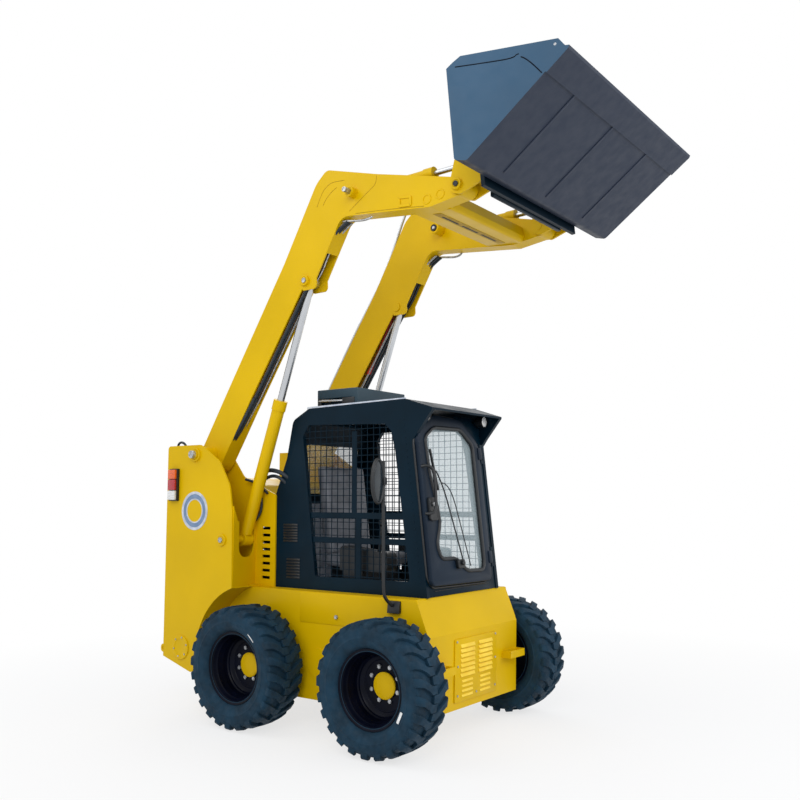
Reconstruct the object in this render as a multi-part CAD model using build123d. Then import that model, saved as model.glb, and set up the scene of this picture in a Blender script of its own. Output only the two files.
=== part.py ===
from build123d import *
import math
import os

# A skid steer loader with its lift arms raised. Millimetres, +X forward, +Y to the left, +Z up.
# Heights start at the ground. Lengths along X are measured from midway between the two axles,
# and the finished pieces are moved so that the origin is under the middle of the whole machine.

# Half width of the frame, from which the other widths follow
FRAME_HALF_WIDTH = 518

# Wheels
WHEELBASE = 1110
TYRE_RADIUS = 388
TYRE_WIDTH = 298
TYRE_OUTER_Y = FRAME_HALF_WIDTH + 353
TYRE_BEAD_RADIUS = 210
LUG_HEIGHT = 20
RIM_WIDTH = 224
RIM_FLANGE_RADIUS = 229
RIM_WALL = 8
DISC_THICKNESS = 12
DISC_SET_IN = 46
HUB_CAP_RADIUS = 78
HUB_CAP_HEIGHT = 12
STUD_COUNT = 8
STUD_CIRCLE_RADIUS = 101.6
STUD_RADIUS = 13
STUD_HEIGHT = 26
STUB_RADIUS = 40
STUB_LENGTH = 110
HOUSING_RADIUS = 72
HOUSING_FLANGE_RADIUS = 105
RUNNING_GAP = 0.05
SEAT_GAP = 0.3

# Lower frame
FRAME_WALL = 10
DECK_Z = 866
BELLY_Z = 190
NOSE_X = 750
NOSE_BREAK_Z = 650
NOSE_TOP_X = 670
TAIL_X = -1380
TAIL_Z = 400
BELLY_REAR_X = -1120
COVER_RADIUS = 92
COVER_X = -111
COVER_Z = 422
COVER_PROUD = 6
FRONT_COVER_WIDTH = 490
FRONT_COVER_LOW_Z = 232
FRONT_COVER_TOP_Z = 609
LOUVRE_COLUMNS = 2
LOUVRE_ROWS = 9
LOUVRE_LENGTH = 170
LOUVRE_HEIGHT = 10
LOUVRE_PITCH = 27

# Lift towers
TOWER_OUTER_Y = FRAME_HALF_WIDTH + 197
TOWER_PLATE = 12
INNER_WALL_Y = FRAME_HALF_WIDTH - 82
TOWER_TOP_Z = 1840
TOWER_REAR_X = -1395
TOWER_FRONT_X = -710
ARCH_RADIUS = 507
TOWER_TOP_FRONT_X = -1045
VENT_COUNT = 8
VENT_PITCH = 48
VENT_LENGTH = 78
VENT_HEIGHT = 20

# Lift arms
PIVOT_X = -1095
PIVOT_Z = 1772
PIVOT_PIN_RADIUS = 32
PIVOT_BOSS_RADIUS = 58
ARM_OUTER_Y = FRAME_HALF_WIDTH + 48
ARM_WIDTH = 120
ARM_PLATE = 10
ARM_HEEL_RADIUS = 116
CHANNEL_DEPTH = 118
HINGE_X = 1015
HINGE_Z = 3308
HINGE_PIN_RADIUS = 25
ARM_TIP_RADIUS = 62
PIN_HEAD_HEIGHT = 12
SIDE_GAP = 6

# Lift cylinders, fully out
LIFT_BASE_X = -812
LIFT_BASE_Z = 1187
LIFT_EYE_X = -209
LIFT_EYE_Z = 2914
LIFT_BARREL_RADIUS = 43
LIFT_BARREL_LENGTH = 1000
LIFT_ROD_RADIUS = 25
LIFT_PIN_RADIUS = 25
LIFT_EYE_RADIUS = 48
EYE_WIDTH = 80

# Tilt cylinders, partly out
TILT_BASE_X = 202
TILT_BASE_Z = 3432
TILT_EYE_X = 1040
TILT_EYE_Z = 3453
TILT_BARREL_RADIUS = 37
TILT_BARREL_LENGTH = 600
TILT_ROD_RADIUS = 17
TILT_PIN_RADIUS = 20
TILT_EYE_RADIUS = 32

# Bucket and coupler
BUCKET_HALF_WIDTH = 912
BUCKET_PLATE = 12
LIP_X = 1905
LIP_Z = 3750
HEEL_X = 1285
HEEL_Z = 3288
BUCKET_REAR_X = 1205
BUCKET_REAR_Z = 3309
BUCKET_TOP_X = 1157
BUCKET_TOP_Z = 3846
LIP_BAND = 170
LIP_BAND_PROUD = 8
EAR_PLATE = 16
COUPLER_HALF_WIDTH = ARM_OUTER_Y + 26
COUPLER_PLATE = 26
COUPLER_BELOW = 50
COUPLER_HEIGHT = 400

# Cab
CAB_HALF_WIDTH = FRAME_HALF_WIDTH - 98
CAB_PANEL = 30
CAB_REAR_X = -593
CAB_FRONT_X = 672
CAB_FRONT_UP_X = 566
CAB_FRONT_UP_Z = 1821
ROOF_FRONT_X = 508
ROOF_FRONT_Z = 2085
ROOF_REAR_X = -302
ROOF_REAR_Z = 2071
ROOF_THICKNESS = 34
VISOR_X = 712
VISOR_Z = 2020
DOOR_THICKNESS = 34
DOOR_GAP = 8
DOOR_HINGE_Y = 318
DOOR_LATCH_Y = -352
DOOR_LOW = 62
DOOR_TOP = 1092
GLASS = 6
GUARD_BAR = 5
GUARD_PITCH_X = 50
GUARD_PITCH_Z = 53
GUARD_COLUMNS = 18
GUARD_ROWS = 20
GUARD_EDGE = 14
GUARD_BAR_HEIGHTS = (1250, 1380)
GUARD_BAR_DEPTH = 34

# Rear
HOOD_TOP_Z = 1560
DOOR_REAR_TOP_Z = 1540
REAR_DOOR_THICKNESS = 40
REAR_DOOR_LOW_Z = 470
REAR_BAR_LOW_Z = 372
REAR_BAR_TOP_Z = 440
REAR_HINGE_X = TOWER_REAR_X - 12
REAR_HINGE_Y = 424
HINGE_RADIUS = 9
HINGE_HEIGHT = 70
HINGE_GAP = 0.4
REAR_HINGE_HEIGHTS = (640, 1300)
TOW_EYE_REACH = 95
HATCH_HALF_WIDTH = 250
MIRROR_X = 505
MIRROR_POST_Y = -FRAME_HALF_WIDTH - 94
MIRROR_HALF_WIDTH = 84
MIRROR_HALF_HEIGHT = 150

TYRE_Y = TYRE_OUTER_Y - TYRE_WIDTH / 2
ARM_Y = ARM_OUTER_Y - ARM_WIDTH / 2
AXLES = {"front": WHEELBASE / 2, "rear": -WHEELBASE / 2}
REAR_REACH = TOWER_REAR_X - TOW_EYE_REACH
ORIGIN_X = (REAR_REACH + LIP_X) / 2


def outline(corners):
    """Flat face from (across, up) corners; a third number rounds that corner."""
    points = [(c[0], c[1]) for c in corners]
    radii = [c[2] if len(c) > 2 else 0 for c in corners]
    if not any(radii):
        return make_face(Polyline(*points, close=True))
    return make_face(FilletPolyline(*points, radius=radii, close=True))


def raise_y(face, y_low, y_high):
    """Prism of a face drawn in X and Z, from one Y to another."""
    side = Plane(origin=(0, y_high, 0), x_dir=(1, 0, 0), z_dir=(0, -1, 0))
    return extrude(side * face, amount=y_high - y_low)


def slab_y(corners, y_low, y_high):
    return raise_y(outline(corners), y_low, y_high)


def slab_x(corners, x_low, x_high):
    """Prism of corners in Y and Z, from one X to another."""
    front = Plane(origin=(x_low, 0, 0), x_dir=(0, 1, 0), z_dir=(1, 0, 0))
    return extrude(front * outline(corners), amount=x_high - x_low)


def slab_z(corners, z_low, z_high):
    return extrude(Pos(0, 0, z_low) * outline(corners), amount=z_high - z_low)


def block(x_low, x_high, y_low, y_high, z_low, z_high):
    size = (x_high - x_low, y_high - y_low, z_high - z_low)
    return Pos(x_low, y_low, z_low) * Box(*size, align=(Align.MIN, Align.MIN, Align.MIN))


def pin_y(x, z, radius, y_low, y_high):
    """Round bar along Y."""
    side = Plane(origin=(x, y_low, z), x_dir=(1, 0, 0), z_dir=(0, 1, 0))
    return extrude(side * Circle(radius), amount=y_high - y_low)


def bar(start, end, radius):
    """Round bar between two points."""
    axis = Vector(*end) - Vector(*start)
    return extrude(Plane(origin=start, z_dir=axis) * Circle(radius), amount=axis.length)


def other_side(shape):
    return mirror(shape, about=Plane.XZ)


def both_sides(shape):
    return shape + other_side(shape)


def save(shape, node):
    export_step(Pos(-ORIGIN_X, 0, 0) * shape, f"parts/{node}.step")


def along(start, end):
    """Unit direction in X and Z, and the length."""
    run, rise = end[0] - start[0], end[1] - start[1]
    length = math.hypot(run, rise)
    return run / length, rise / length, length


# Wheels
def tyre():
    """Carcass out to the lug tips, turned about the axle."""
    half = TYRE_WIDTH / 2
    section = [
        (-RIM_WIDTH / 2 + 6, TYRE_BEAD_RADIUS), (RIM_WIDTH / 2 - 6, TYRE_BEAD_RADIUS),
        (RIM_WIDTH / 2 - 6, RIM_FLANGE_RADIUS + 2), (half - 4, 285), (half, 318),
        (half - 6, TYRE_RADIUS - 45), (half - 30, TYRE_RADIUS - 4), (half - 70, TYRE_RADIUS),
    ]
    mirrored = [(-y, r) for y, r in reversed(section[2:])]
    face = Plane.YZ * make_face(Polyline(*section, *mirrored, close=True))
    return revolve(face, axis=Axis.Y)


def rim():
    """Barrel with flanges, deep disc, hub cap, studs and the stub axle, outer side towards -Y."""
    half = RIM_WIDTH / 2
    barrel_r = TYRE_BEAD_RADIUS - SEAT_GAP
    barrel = [
        (-half, RIM_FLANGE_RADIUS), (-half, barrel_r - RIM_WALL), (-half + 30, barrel_r - RIM_WALL - 6),
        (half - 30, barrel_r - RIM_WALL - 6), (half, barrel_r - RIM_WALL), (half, RIM_FLANGE_RADIUS),
        (half - 5.7, RIM_FLANGE_RADIUS), (half - 5.7, barrel_r), (-half + 5.7, barrel_r),
        (-half + 5.7, RIM_FLANGE_RADIUS),
    ]
    shape = revolve(Plane.YZ * make_face(Polyline(*barrel, close=True)), axis=Axis.Y)
    face_y = DISC_SET_IN - DISC_THICKNESS / 2
    shape += pin_y(0, 0, barrel_r - RIM_WALL, face_y, face_y + DISC_THICKNESS)
    shape += pin_y(0, 0, HUB_CAP_RADIUS, face_y - HUB_CAP_HEIGHT, face_y)
    for i in range(STUD_COUNT):
        turn = math.radians(360 / STUD_COUNT * (i + 0.5))
        x, z = STUD_CIRCLE_RADIUS * math.cos(turn), STUD_CIRCLE_RADIUS * math.sin(turn)
        shape += pin_y(x, z, STUD_RADIUS, face_y - STUD_HEIGHT, face_y)
    back_y = face_y + DISC_THICKNESS
    return shape + pin_y(0, 0, STUB_RADIUS, back_y, back_y + STUB_LENGTH)


def axle_housing():
    """Tube bolted to the frame's right side, with the bore for the stub axle."""
    disc_back = -TYRE_Y + DISC_SET_IN + DISC_THICKNESS / 2
    start = disc_back + SIDE_GAP * 2
    tube = pin_y(0, 0, HOUSING_RADIUS, start, -FRAME_HALF_WIDTH)
    tube += pin_y(0, 0, HOUSING_FLANGE_RADIUS, -FRAME_HALF_WIDTH - 16, -FRAME_HALF_WIDTH)
    bore_end = disc_back + STUB_LENGTH + SIDE_GAP
    return tube - pin_y(0, 0, STUB_RADIUS + RUNNING_GAP, start - 1, bore_end)


# Lower frame
def frame_side():
    return [
        (TAIL_X, TAIL_Z), (BELLY_REAR_X, BELLY_Z + 40), (BELLY_REAR_X + 200, BELLY_Z),
        (NOSE_X - 12, BELLY_Z), (NOSE_X, NOSE_BREAK_Z), (NOSE_TOP_X, DECK_Z - 17),
        (NOSE_TOP_X - 10, DECK_Z), (TAIL_X, DECK_Z),
    ]


def lower_frame():
    """Welded tub under the cab and engine, open inside and at the tail, with a deck under the cab."""
    wall = FRAME_WALL
    tub = slab_y(frame_side(), -FRAME_HALF_WIDTH, FRAME_HALF_WIDTH)
    inside = [
        (TAIL_X - 1, TAIL_Z + wall), (BELLY_REAR_X, BELLY_Z + 40 + wall),
        (BELLY_REAR_X + 200, BELLY_Z + wall), (NOSE_X - 12 - wall, BELLY_Z + wall),
        (NOSE_X - wall, NOSE_BREAK_Z), (NOSE_TOP_X - wall, DECK_Z - 17 - wall),
        (NOSE_TOP_X - wall - 8, DECK_Z - wall), (TAIL_X - 1, DECK_Z - wall),
    ]
    tub -= slab_y(inside, -FRAME_HALF_WIDTH + wall, FRAME_HALF_WIDTH - wall)
    open_y = INNER_WALL_Y - TOWER_PLATE - 4
    tub -= block(TAIL_X - 1, CAB_REAR_X - 40, -open_y, open_y, DECK_Z - wall - 1, DECK_Z + 1)
    cover = pin_y(COVER_X, COVER_Z, COVER_RADIUS, -FRAME_HALF_WIDTH - COVER_PROUD, -FRAME_HALF_WIDTH)
    for side in (cover, other_side(cover)):
        tub += side
    step = block(NOSE_X - 10, NOSE_X + 62, 330, FRAME_HALF_WIDTH - 6, 424, 470)
    step -= block(NOSE_X + 6, NOSE_X + 52, 346, FRAME_HALF_WIDTH - 22, 434, 471)
    for side in (step, other_side(step)):
        tub += side
    return tub


def front_cover():
    """Bolted plate on the nose with two columns of louvres."""
    half = FRONT_COVER_WIDTH / 2
    lean = 12 / (NOSE_BREAK_Z - BELLY_Z)
    low_x = NOSE_X - 12 + lean * (FRONT_COVER_LOW_Z - BELLY_Z)
    top_x = NOSE_X - 12 + lean * (FRONT_COVER_TOP_Z - BELLY_Z)
    gap, plate = SEAT_GAP, 8
    cover = slab_y([
        (low_x + gap, FRONT_COVER_LOW_Z), (low_x + plate, FRONT_COVER_LOW_Z),
        (top_x + plate, FRONT_COVER_TOP_Z), (top_x + gap, FRONT_COVER_TOP_Z)], -half, half)
    for column in range(LOUVRE_COLUMNS):
        y = (column - (LOUVRE_COLUMNS - 1) / 2) * (LOUVRE_LENGTH + 40)
        for row in range(LOUVRE_ROWS):
            z = FRONT_COVER_TOP_Z - 40 - row * LOUVRE_PITCH
            cover -= block(
                low_x - 20, top_x + 20, y - LOUVRE_LENGTH / 2, y + LOUVRE_LENGTH / 2, z - LOUVRE_HEIGHT, z)
    return cover


# Towers, drawn for the right side
def arch_point(degrees, radius=ARCH_RADIUS):
    turn = math.radians(degrees)
    return AXLES["rear"] + radius * math.cos(turn), TYRE_RADIUS + radius * math.sin(turn)


def tower_outline():
    front_z = TYRE_RADIUS + math.sqrt(ARCH_RADIUS ** 2 - (TOWER_FRONT_X - AXLES["rear"]) ** 2)
    return [
        (TOWER_REAR_X, 366), (TOWER_REAR_X, TOWER_TOP_Z, 25), (TOWER_TOP_FRONT_X, TOWER_TOP_Z, 60),
        (-853, 1722, 90), (-745, 1548, 160), (TOWER_FRONT_X - 10, 1389, 160), (TOWER_FRONT_X, front_z),
        (-1105 + 20, 290), (-1105, 284),
    ]


def inner_wall_outline():
    front_x = CAB_REAR_X + 6
    return [
        (TOWER_REAR_X, 700), (TOWER_REAR_X, TOWER_TOP_Z), (TOWER_TOP_FRONT_X - 30, TOWER_TOP_Z, 20),
        (-1000, 1735), (-908, 1622, 40), (-741, 1553), (front_x, 1492, 20), (front_x, DECK_Z + SEAT_GAP),
        (-1200, DECK_Z + SEAT_GAP), (-1200, 700),
    ]


def tower():
    """Right tower: outer plate over the wheel arch, rear wall, inner wall with vents, front return."""
    outer, plate, inner = -TOWER_OUTER_Y, TOWER_PLATE, -INNER_WALL_Y
    arch = pin_y(AXLES["rear"], TYRE_RADIUS, ARCH_RADIUS, outer - 1, outer + plate + 1)
    shape = slab_y(tower_outline(), outer, outer + plate) - arch
    shape += block(TOWER_REAR_X, TOWER_REAR_X + plate, outer + 1, inner + 1, REAR_BAR_TOP_Z + SEAT_GAP,
                   TOWER_TOP_Z - 30)
    wall = slab_y(inner_wall_outline(), inner, inner + plate)
    wall -= block(TOWER_REAR_X - 1, -1199, inner - 1, inner + plate + 1, 690, DECK_Z + SEAT_GAP)
    for i in range(VENT_COUNT):
        z = 1262 - i * VENT_PITCH
        wall -= block(-712, -712 + VENT_LENGTH, inner - 1, inner + plate + 1, z - VENT_HEIGHT / 2, z + VENT_HEIGHT / 2)
    shape += wall
    shape += front_return()
    shape += arch_liner()
    shape += pin_y(PIVOT_X, PIVOT_Z, PIVOT_PIN_RADIUS, outer - PIN_HEAD_HEIGHT * 2, inner + plate)
    shape += pin_y(PIVOT_X, PIVOT_Z, PIVOT_BOSS_RADIUS - 12, outer - 8, outer + 1)
    shape += pin_y(LIFT_BASE_X, LIFT_BASE_Z, LIFT_PIN_RADIUS, outer - PIN_HEAD_HEIGHT, inner + plate)
    shape += pin_y(LIFT_BASE_X, LIFT_BASE_Z, LIFT_PIN_RADIUS + 12, outer - 6, outer + 1)
    return shape


def front_return():
    """Slanted plate that closes the tower's front, cut open for the lift cylinder's barrel."""
    outer, inner, plate = -TOWER_OUTER_Y, -INNER_WALL_Y, TOWER_PLATE
    back = 66
    strip = slab_z([
        (TOWER_FRONT_X, outer + plate - 1), (TOWER_FRONT_X - back, inner + 1),
        (TOWER_FRONT_X - back - plate, inner + 1), (TOWER_FRONT_X - plate, outer + plate - 1)],
        DECK_Z + 6, 1560)
    top = slab_x([
        (outer - 1, 1440), (outer + 60, 1312), (-560, 1312), (-470, 1400), (inner + 2, 1540), (inner + 2, 1600),
        (outer - 1, 1600)], -900, -600)
    slot = slab_x([
        (-640, 1600), (-640, 1068, 70), (-456, 1068, 70), (-456, 1600)], -900, -600)
    return strip - top - slot


def arch_liner():
    """Curved plate between the outer plate and the frame, over the rear wheel."""
    x, z, plate = AXLES["rear"], TYRE_RADIUS, 8
    low, high = -TOWER_OUTER_Y + 1, -FRAME_HALF_WIDTH - SEAT_GAP
    liner = pin_y(x, z, ARCH_RADIUS + plate, low, high) - pin_y(x, z, ARCH_RADIUS, low - 1, high + 1)
    liner -= block(x - 158, x + 700, low - 2, high + 2, z - 700, z + 700)
    liner -= block(x - 700, x + 700, low - 2, high + 2, z - 700, z + 20)
    bridge = block(-1000, TOWER_FRONT_X - 20, -FRAME_HALF_WIDTH - 1, -INNER_WALL_Y - 1, DECK_Z + SEAT_GAP, DECK_Z + 12)
    return liner + bridge


# Rear
def rear_frame():
    """Cross plate under the rear door with the tow eye and tie-down loops."""
    width = TOWER_OUTER_Y - TOWER_PLATE - SEAT_GAP
    plate = block(TOWER_REAR_X, TAIL_X - SEAT_GAP, -width, width, REAR_BAR_LOW_Z, REAR_BAR_TOP_Z)
    lug = slab_z([
        (TOWER_REAR_X + 2, -48), (TOWER_REAR_X + 2, 48), (REAR_REACH, 48, 40), (REAR_REACH, -48, 40)], 396, 420)
    lug -= Pos(REAR_REACH + 48, 0, 408) * Cylinder(22, 60)
    plate += lug
    loop = slab_y([
        (TOWER_REAR_X + 2, 380), (TOWER_REAR_X + 2, 436), (REAR_REACH + 10, 436, 24), (REAR_REACH + 10, 380, 24)],
        -668, -648)
    loop -= pin_y(REAR_REACH + 42, 408, 17, -669, -647)
    for side in (loop, other_side(loop)):
        plate += side
    return plate


def engine_block():
    floor = BELLY_Z + FRAME_WALL + SEAT_GAP
    return slab_y([
        (BELLY_REAR_X, floor + 40), (BELLY_REAR_X + 200, floor), (-760, floor), (-760, 1080),
        (BELLY_REAR_X, 1080)], -250, 250)


def engine_hood():
    """Top cover between the towers, behind the cab."""
    wide, low, wall = INNER_WALL_Y - TOWER_PLATE - SEAT_GAP, DOOR_REAR_TOP_Z + 6, 12
    top = slab_y([
        (TOWER_REAR_X, low), (TOWER_REAR_X, HOOD_TOP_Z + 70, 60), (-1000, HOOD_TOP_Z + 50, 90),
        (-760, HOOD_TOP_Z, 60), (-690, HOOD_TOP_Z - 60), (-690, low - 60), (-1300, low - 60), (-1340, low)],
        -wide, wide)
    return top - slab_y([
        (TOWER_REAR_X + wall, low - 80), (TOWER_REAR_X + wall, HOOD_TOP_Z + 70 - wall, 48),
        (-1000, HOOD_TOP_Z + 50 - wall, 90), (-760 - 4, HOOD_TOP_Z - wall, 48),
        (-690 - wall, HOOD_TOP_Z - 60), (-690 - wall, low - 80)], -wide + wall, wide - wall)


def rear_hinge_post(low, high):
    """One length of the rear door's hinge barrel."""
    return Pos(REAR_HINGE_X, REAR_HINGE_Y, (low + high) / 2) * Cylinder(HINGE_RADIUS, high - low)


def rear_hinges():
    """Fixed halves of the rear door's hinges, on the back of the left tower."""
    fixed = []
    for z in REAR_HINGE_HEIGHTS:
        top = z + HINGE_HEIGHT + HINGE_GAP
        for low, high in ((z - 30 - HINGE_GAP, z - HINGE_GAP), (top, top + 30)):
            fixed.append(rear_hinge_post(low, high))
            fixed.append(block(REAR_HINGE_X - 4, TOWER_REAR_X + 1, REAR_HINGE_Y, INNER_WALL_Y + 30, low, high))
    return fixed


def rear_door():
    """Swinging engine door with grille slots, hinged on the left tower."""
    wide = INNER_WALL_Y - TOWER_PLATE - 8
    x = TOWER_REAR_X
    door = slab_x([
        (-wide, REAR_DOOR_LOW_Z, 20), (wide, REAR_DOOR_LOW_Z, 20), (wide, DOOR_REAR_TOP_Z, 50),
        (-wide, DOOR_REAR_TOP_Z, 50)], x, x + REAR_DOOR_THICKNESS)
    for i in range(10):
        z = 900 + i * 48
        door -= block(x - 1, x + REAR_DOOR_THICKNESS + 1, -260, 260, z, z + 24)
    door += block(x - 26, x + 1, -wide + 40, -wide + 60, 980, 1120)
    for z in REAR_HINGE_HEIGHTS:
        door += rear_hinge_post(z, z + HINGE_HEIGHT)
        door += block(REAR_HINGE_X - 4, x + 1, REAR_HINGE_Y - 40, REAR_HINGE_Y, z, z + HINGE_HEIGHT)
    return door


# Cab
def cab_side_outline():
    return [
        (CAB_REAR_X, DECK_Z + SEAT_GAP), (CAB_FRONT_X, DECK_Z + SEAT_GAP), (CAB_FRONT_UP_X, CAB_FRONT_UP_Z),
        (599, 1868), (VISOR_X, VISOR_Z - 14), (VISOR_X, VISOR_Z), (ROOF_FRONT_X, ROOF_FRONT_Z, 30),
        (ROOF_REAR_X, ROOF_REAR_Z, 60), (-445, 1997, 60), (-500, 1739), (-600, 1495),
    ]


def side_window_outline():
    return [
        (-232, 953, 20), (542, 958, 20), (430, 1766, 20), (397, 1890, 20), (351, 1934, 20),
        (-301, 1975 - 15, 30), (-353, 1888, 30),
    ]


def cab_side():
    outer = -CAB_HALF_WIDTH
    panel = slab_y(cab_side_outline(), outer, outer + CAB_PANEL)
    return panel - slab_y(side_window_outline(), outer - 1, outer + CAB_PANEL + 1)


def side_guard():
    """Bar guard that fills the side window: fine mesh, an edge strip and three stiffening bars."""
    face = offset(outline(side_window_outline()), amount=-SEAT_GAP)
    hole = (GUARD_PITCH_X - GUARD_BAR, GUARD_PITCH_Z - GUARD_BAR)
    holes = [
        Pos(-353 + (i + 0.5) * GUARD_PITCH_X, 953 + (j + 0.5) * GUARD_PITCH_Z) * Rectangle(*hole)
        for i in range(GUARD_COLUMNS) for j in range(GUARD_ROWS)]
    mesh = (face - holes) + (face - offset(face, amount=-GUARD_EDGE))
    for z in GUARD_BAR_HEIGHTS:
        mesh += face & (Pos(100, z) * Rectangle(1200, GUARD_BAR_DEPTH))
    mesh += face & (Pos(100, 1090) * Rectangle(GUARD_BAR_DEPTH, 320))
    return raise_y(mesh, -CAB_HALF_WIDTH + 10, -CAB_HALF_WIDTH + 16)


def cab_roof():
    """Roof sheet between the side panels, down the rounded back and out to the visor's edge."""
    wide = CAB_HALF_WIDTH - CAB_PANEL - SEAT_GAP
    down = ROOF_THICKNESS
    return slab_y([
        (VISOR_X, VISOR_Z), (ROOF_FRONT_X, ROOF_FRONT_Z, 30), (ROOF_REAR_X, ROOF_REAR_Z, 60), (-445, 1997, 60),
        (-470, 1880), (-470 + down, 1880), (-445 + down, 1985, 40), (ROOF_REAR_X + 10, ROOF_REAR_Z - down, 40),
        (ROOF_FRONT_X, ROOF_FRONT_Z - down, 20), (VISOR_X, VISOR_Z - 14)], -wide, wide)


REAR_WALL_BEND = (CAB_REAR_X, 1440)
REAR_WALL_TOP = (-452, 1880 - SEAT_GAP)


def rear_opening(gap=0):
    return slab_x([
        (-300 + gap, 1500 + gap, 40), (300 - gap, 1500 + gap, 40), (300 - gap, 1840 - gap, 40),
        (-300 + gap, 1840 - gap, 40)], -700, -300)


def cab_rear():
    """Rear wall with its window opening in the leaning upper part."""
    wide, wall = CAB_HALF_WIDTH - CAB_PANEL - SEAT_GAP, 30
    sheet = slab_y([
        (CAB_REAR_X, DECK_Z + SEAT_GAP), REAR_WALL_BEND, REAR_WALL_TOP, (REAR_WALL_TOP[0] + wall, REAR_WALL_TOP[1]),
        (CAB_REAR_X + wall, REAR_WALL_BEND[1] - 8), (CAB_REAR_X + wall, DECK_Z + SEAT_GAP)], -wide, wide)
    return sheet - rear_opening()


def rear_window():
    """Pane in the rear wall's opening."""
    step = 12
    (low_x, low_z), (top_x, top_z) = REAR_WALL_BEND, REAR_WALL_TOP
    sheet = slab_y([
        (low_x + step, low_z), (top_x + step, top_z), (top_x + step + GLASS, top_z), (low_x + step + GLASS, low_z)],
        -300, 300)
    return sheet & rear_opening(SEAT_GAP)


FRONT_LEAN = along((CAB_FRONT_X, DECK_Z), (CAB_FRONT_UP_X, CAB_FRONT_UP_Z))
FRONT_PLANE = Plane(
    origin=(CAB_FRONT_X, 0, DECK_Z), x_dir=(0, 1, 0), z_dir=(FRONT_LEAN[1], 0, -FRONT_LEAN[0]))


def front_slab(corners, back, front):
    """Prism on the leaning cab front: corners are (across, up the lean), depths along its normal."""
    return extrude(FRONT_PLANE.offset(back) * outline(corners), amount=front - back)


def glass_outline(grow=0):
    g = grow
    return [
        (-228 - g, 1056 + g, 40), (118 + g, 1060 + g, 40), (210 + g, 972 + g, 40), (218 + g, 182 - g, 30),
        (-10, 136 - g, 60), (-278 - g, 220 - g, 40), (-326 - g, 372, 40), (-250 - g, 452, 50), (-314 - g, 962 + g, 60),
    ]


def cab_front():
    """Frame round the doorway, between the side panels."""
    wide = CAB_HALF_WIDTH - CAB_PANEL - SEAT_GAP
    frame = front_slab([(-wide, 0), (wide, 0), (wide, 1180), (-wide, 1180)], -36, -4)
    frame -= front_slab([(-300, 110, 50), (266, 110, 50), (266, 1070, 50), (-300, 1070, 50)], -60, 60)
    frame -= slab_y([(400, ROOF_FRONT_Z - ROOF_THICKNESS - 8), (800, VISOR_Z - 40), (800, 2300), (400, 2300)], -500, 500)
    frame -= slab_y([(500, DECK_Z + SEAT_GAP), (800, DECK_Z + SEAT_GAP), (800, 700), (500, 700)], -500, 500)
    return frame


def door_frame():
    """Front door's shell with its shaped window, hinge barrels and grab handle."""
    back, front = DOOR_GAP - 4, DOOR_GAP - 4 + DOOR_THICKNESS
    shell = front_slab([
        (DOOR_LATCH_Y, DOOR_LOW, 60), (DOOR_HINGE_Y - 24, DOOR_LOW, 40), (DOOR_HINGE_Y - 24, DOOR_TOP, 60),
        (DOOR_LATCH_Y, DOOR_TOP, 90)], back, front)
    shell -= front_slab(glass_outline(), back - 5, front + 5)
    for low, high in ((170, 250), (860, 940)):
        shell += front_slab([
            (DOOR_HINGE_Y - 30, low), (DOOR_HINGE_Y - 6, low), (DOOR_HINGE_Y - 6, high), (DOOR_HINGE_Y - 30, high)],
            back, front)
        start = FRONT_PLANE.from_local_coords((DOOR_HINGE_Y, low, (back + front) / 2))
        end = FRONT_PLANE.from_local_coords((DOOR_HINGE_Y, high, (back + front) / 2))
        shell += bar(start, end, 13)
    return shell


def hinge_brackets():
    """Fixed hinge leaves on the front frame, above and below each door barrel."""
    back, front = DOOR_GAP - 4, DOOR_GAP - 4 + DOOR_THICKNESS
    middle = (back + front) / 2
    leaves = []
    for low, high in ((170, 250), (860, 940)):
        for start, end in ((low - 24 - HINGE_GAP, low - HINGE_GAP), (high + HINGE_GAP, high + HINGE_GAP + 24)):
            a = FRONT_PLANE.from_local_coords((DOOR_HINGE_Y, start, middle))
            b = FRONT_PLANE.from_local_coords((DOOR_HINGE_Y, end, middle))
            leaf = bar(a, b, 13)
            leaf += front_slab([
                (DOOR_HINGE_Y, start), (DOOR_HINGE_Y + 40, start), (DOOR_HINGE_Y + 40, end), (DOOR_HINGE_Y, end)],
                -4 + SEAT_GAP, middle + 6)
            leaves.append(leaf)
    return leaves[0] + leaves[1:]


def door_handle():
    """Grab loop on the latch side."""
    front = DOOR_GAP - 4 + DOOR_THICKNESS
    points = [(-340, 560, front), (-340, 560, front + 44), (-340, 860, front + 44), (-340, 860, front)]
    world = [FRONT_PLANE.from_local_coords(p) for p in points]
    loop = bar(world[0], world[1], 9) + bar(world[1], world[2], 9) + bar(world[2], world[3], 9)
    return loop + Pos(*world[1]) * Sphere(9) + Pos(*world[2]) * Sphere(9)


def door_glass():
    pane = offset(outline(glass_outline()), amount=-SEAT_GAP)
    back = DOOR_GAP - 4 + DOOR_THICKNESS - 14
    return extrude(FRONT_PLANE.offset(back) * pane, amount=GLASS)


def wiper():
    """Motor box on the door's foot, arm and blade."""
    front = DOOR_GAP - 4 + DOOR_THICKNESS
    motor = front_slab([(-140, 70, 10), (-60, 70, 10), (-60, 128, 10), (-140, 128, 10)], front + SEAT_GAP, front + 46)
    low = FRONT_PLANE.from_local_coords((-100, 110, front + 30))
    high = FRONT_PLANE.from_local_coords((-246, 640, front + 18))
    arm = bar(low, high, 6)
    blade_low = FRONT_PLANE.from_local_coords((-180, 300, front + 10))
    blade_high = FRONT_PLANE.from_local_coords((-296, 900, front + 10))
    return motor + arm + bar(blade_low, blade_high, 8)


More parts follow.
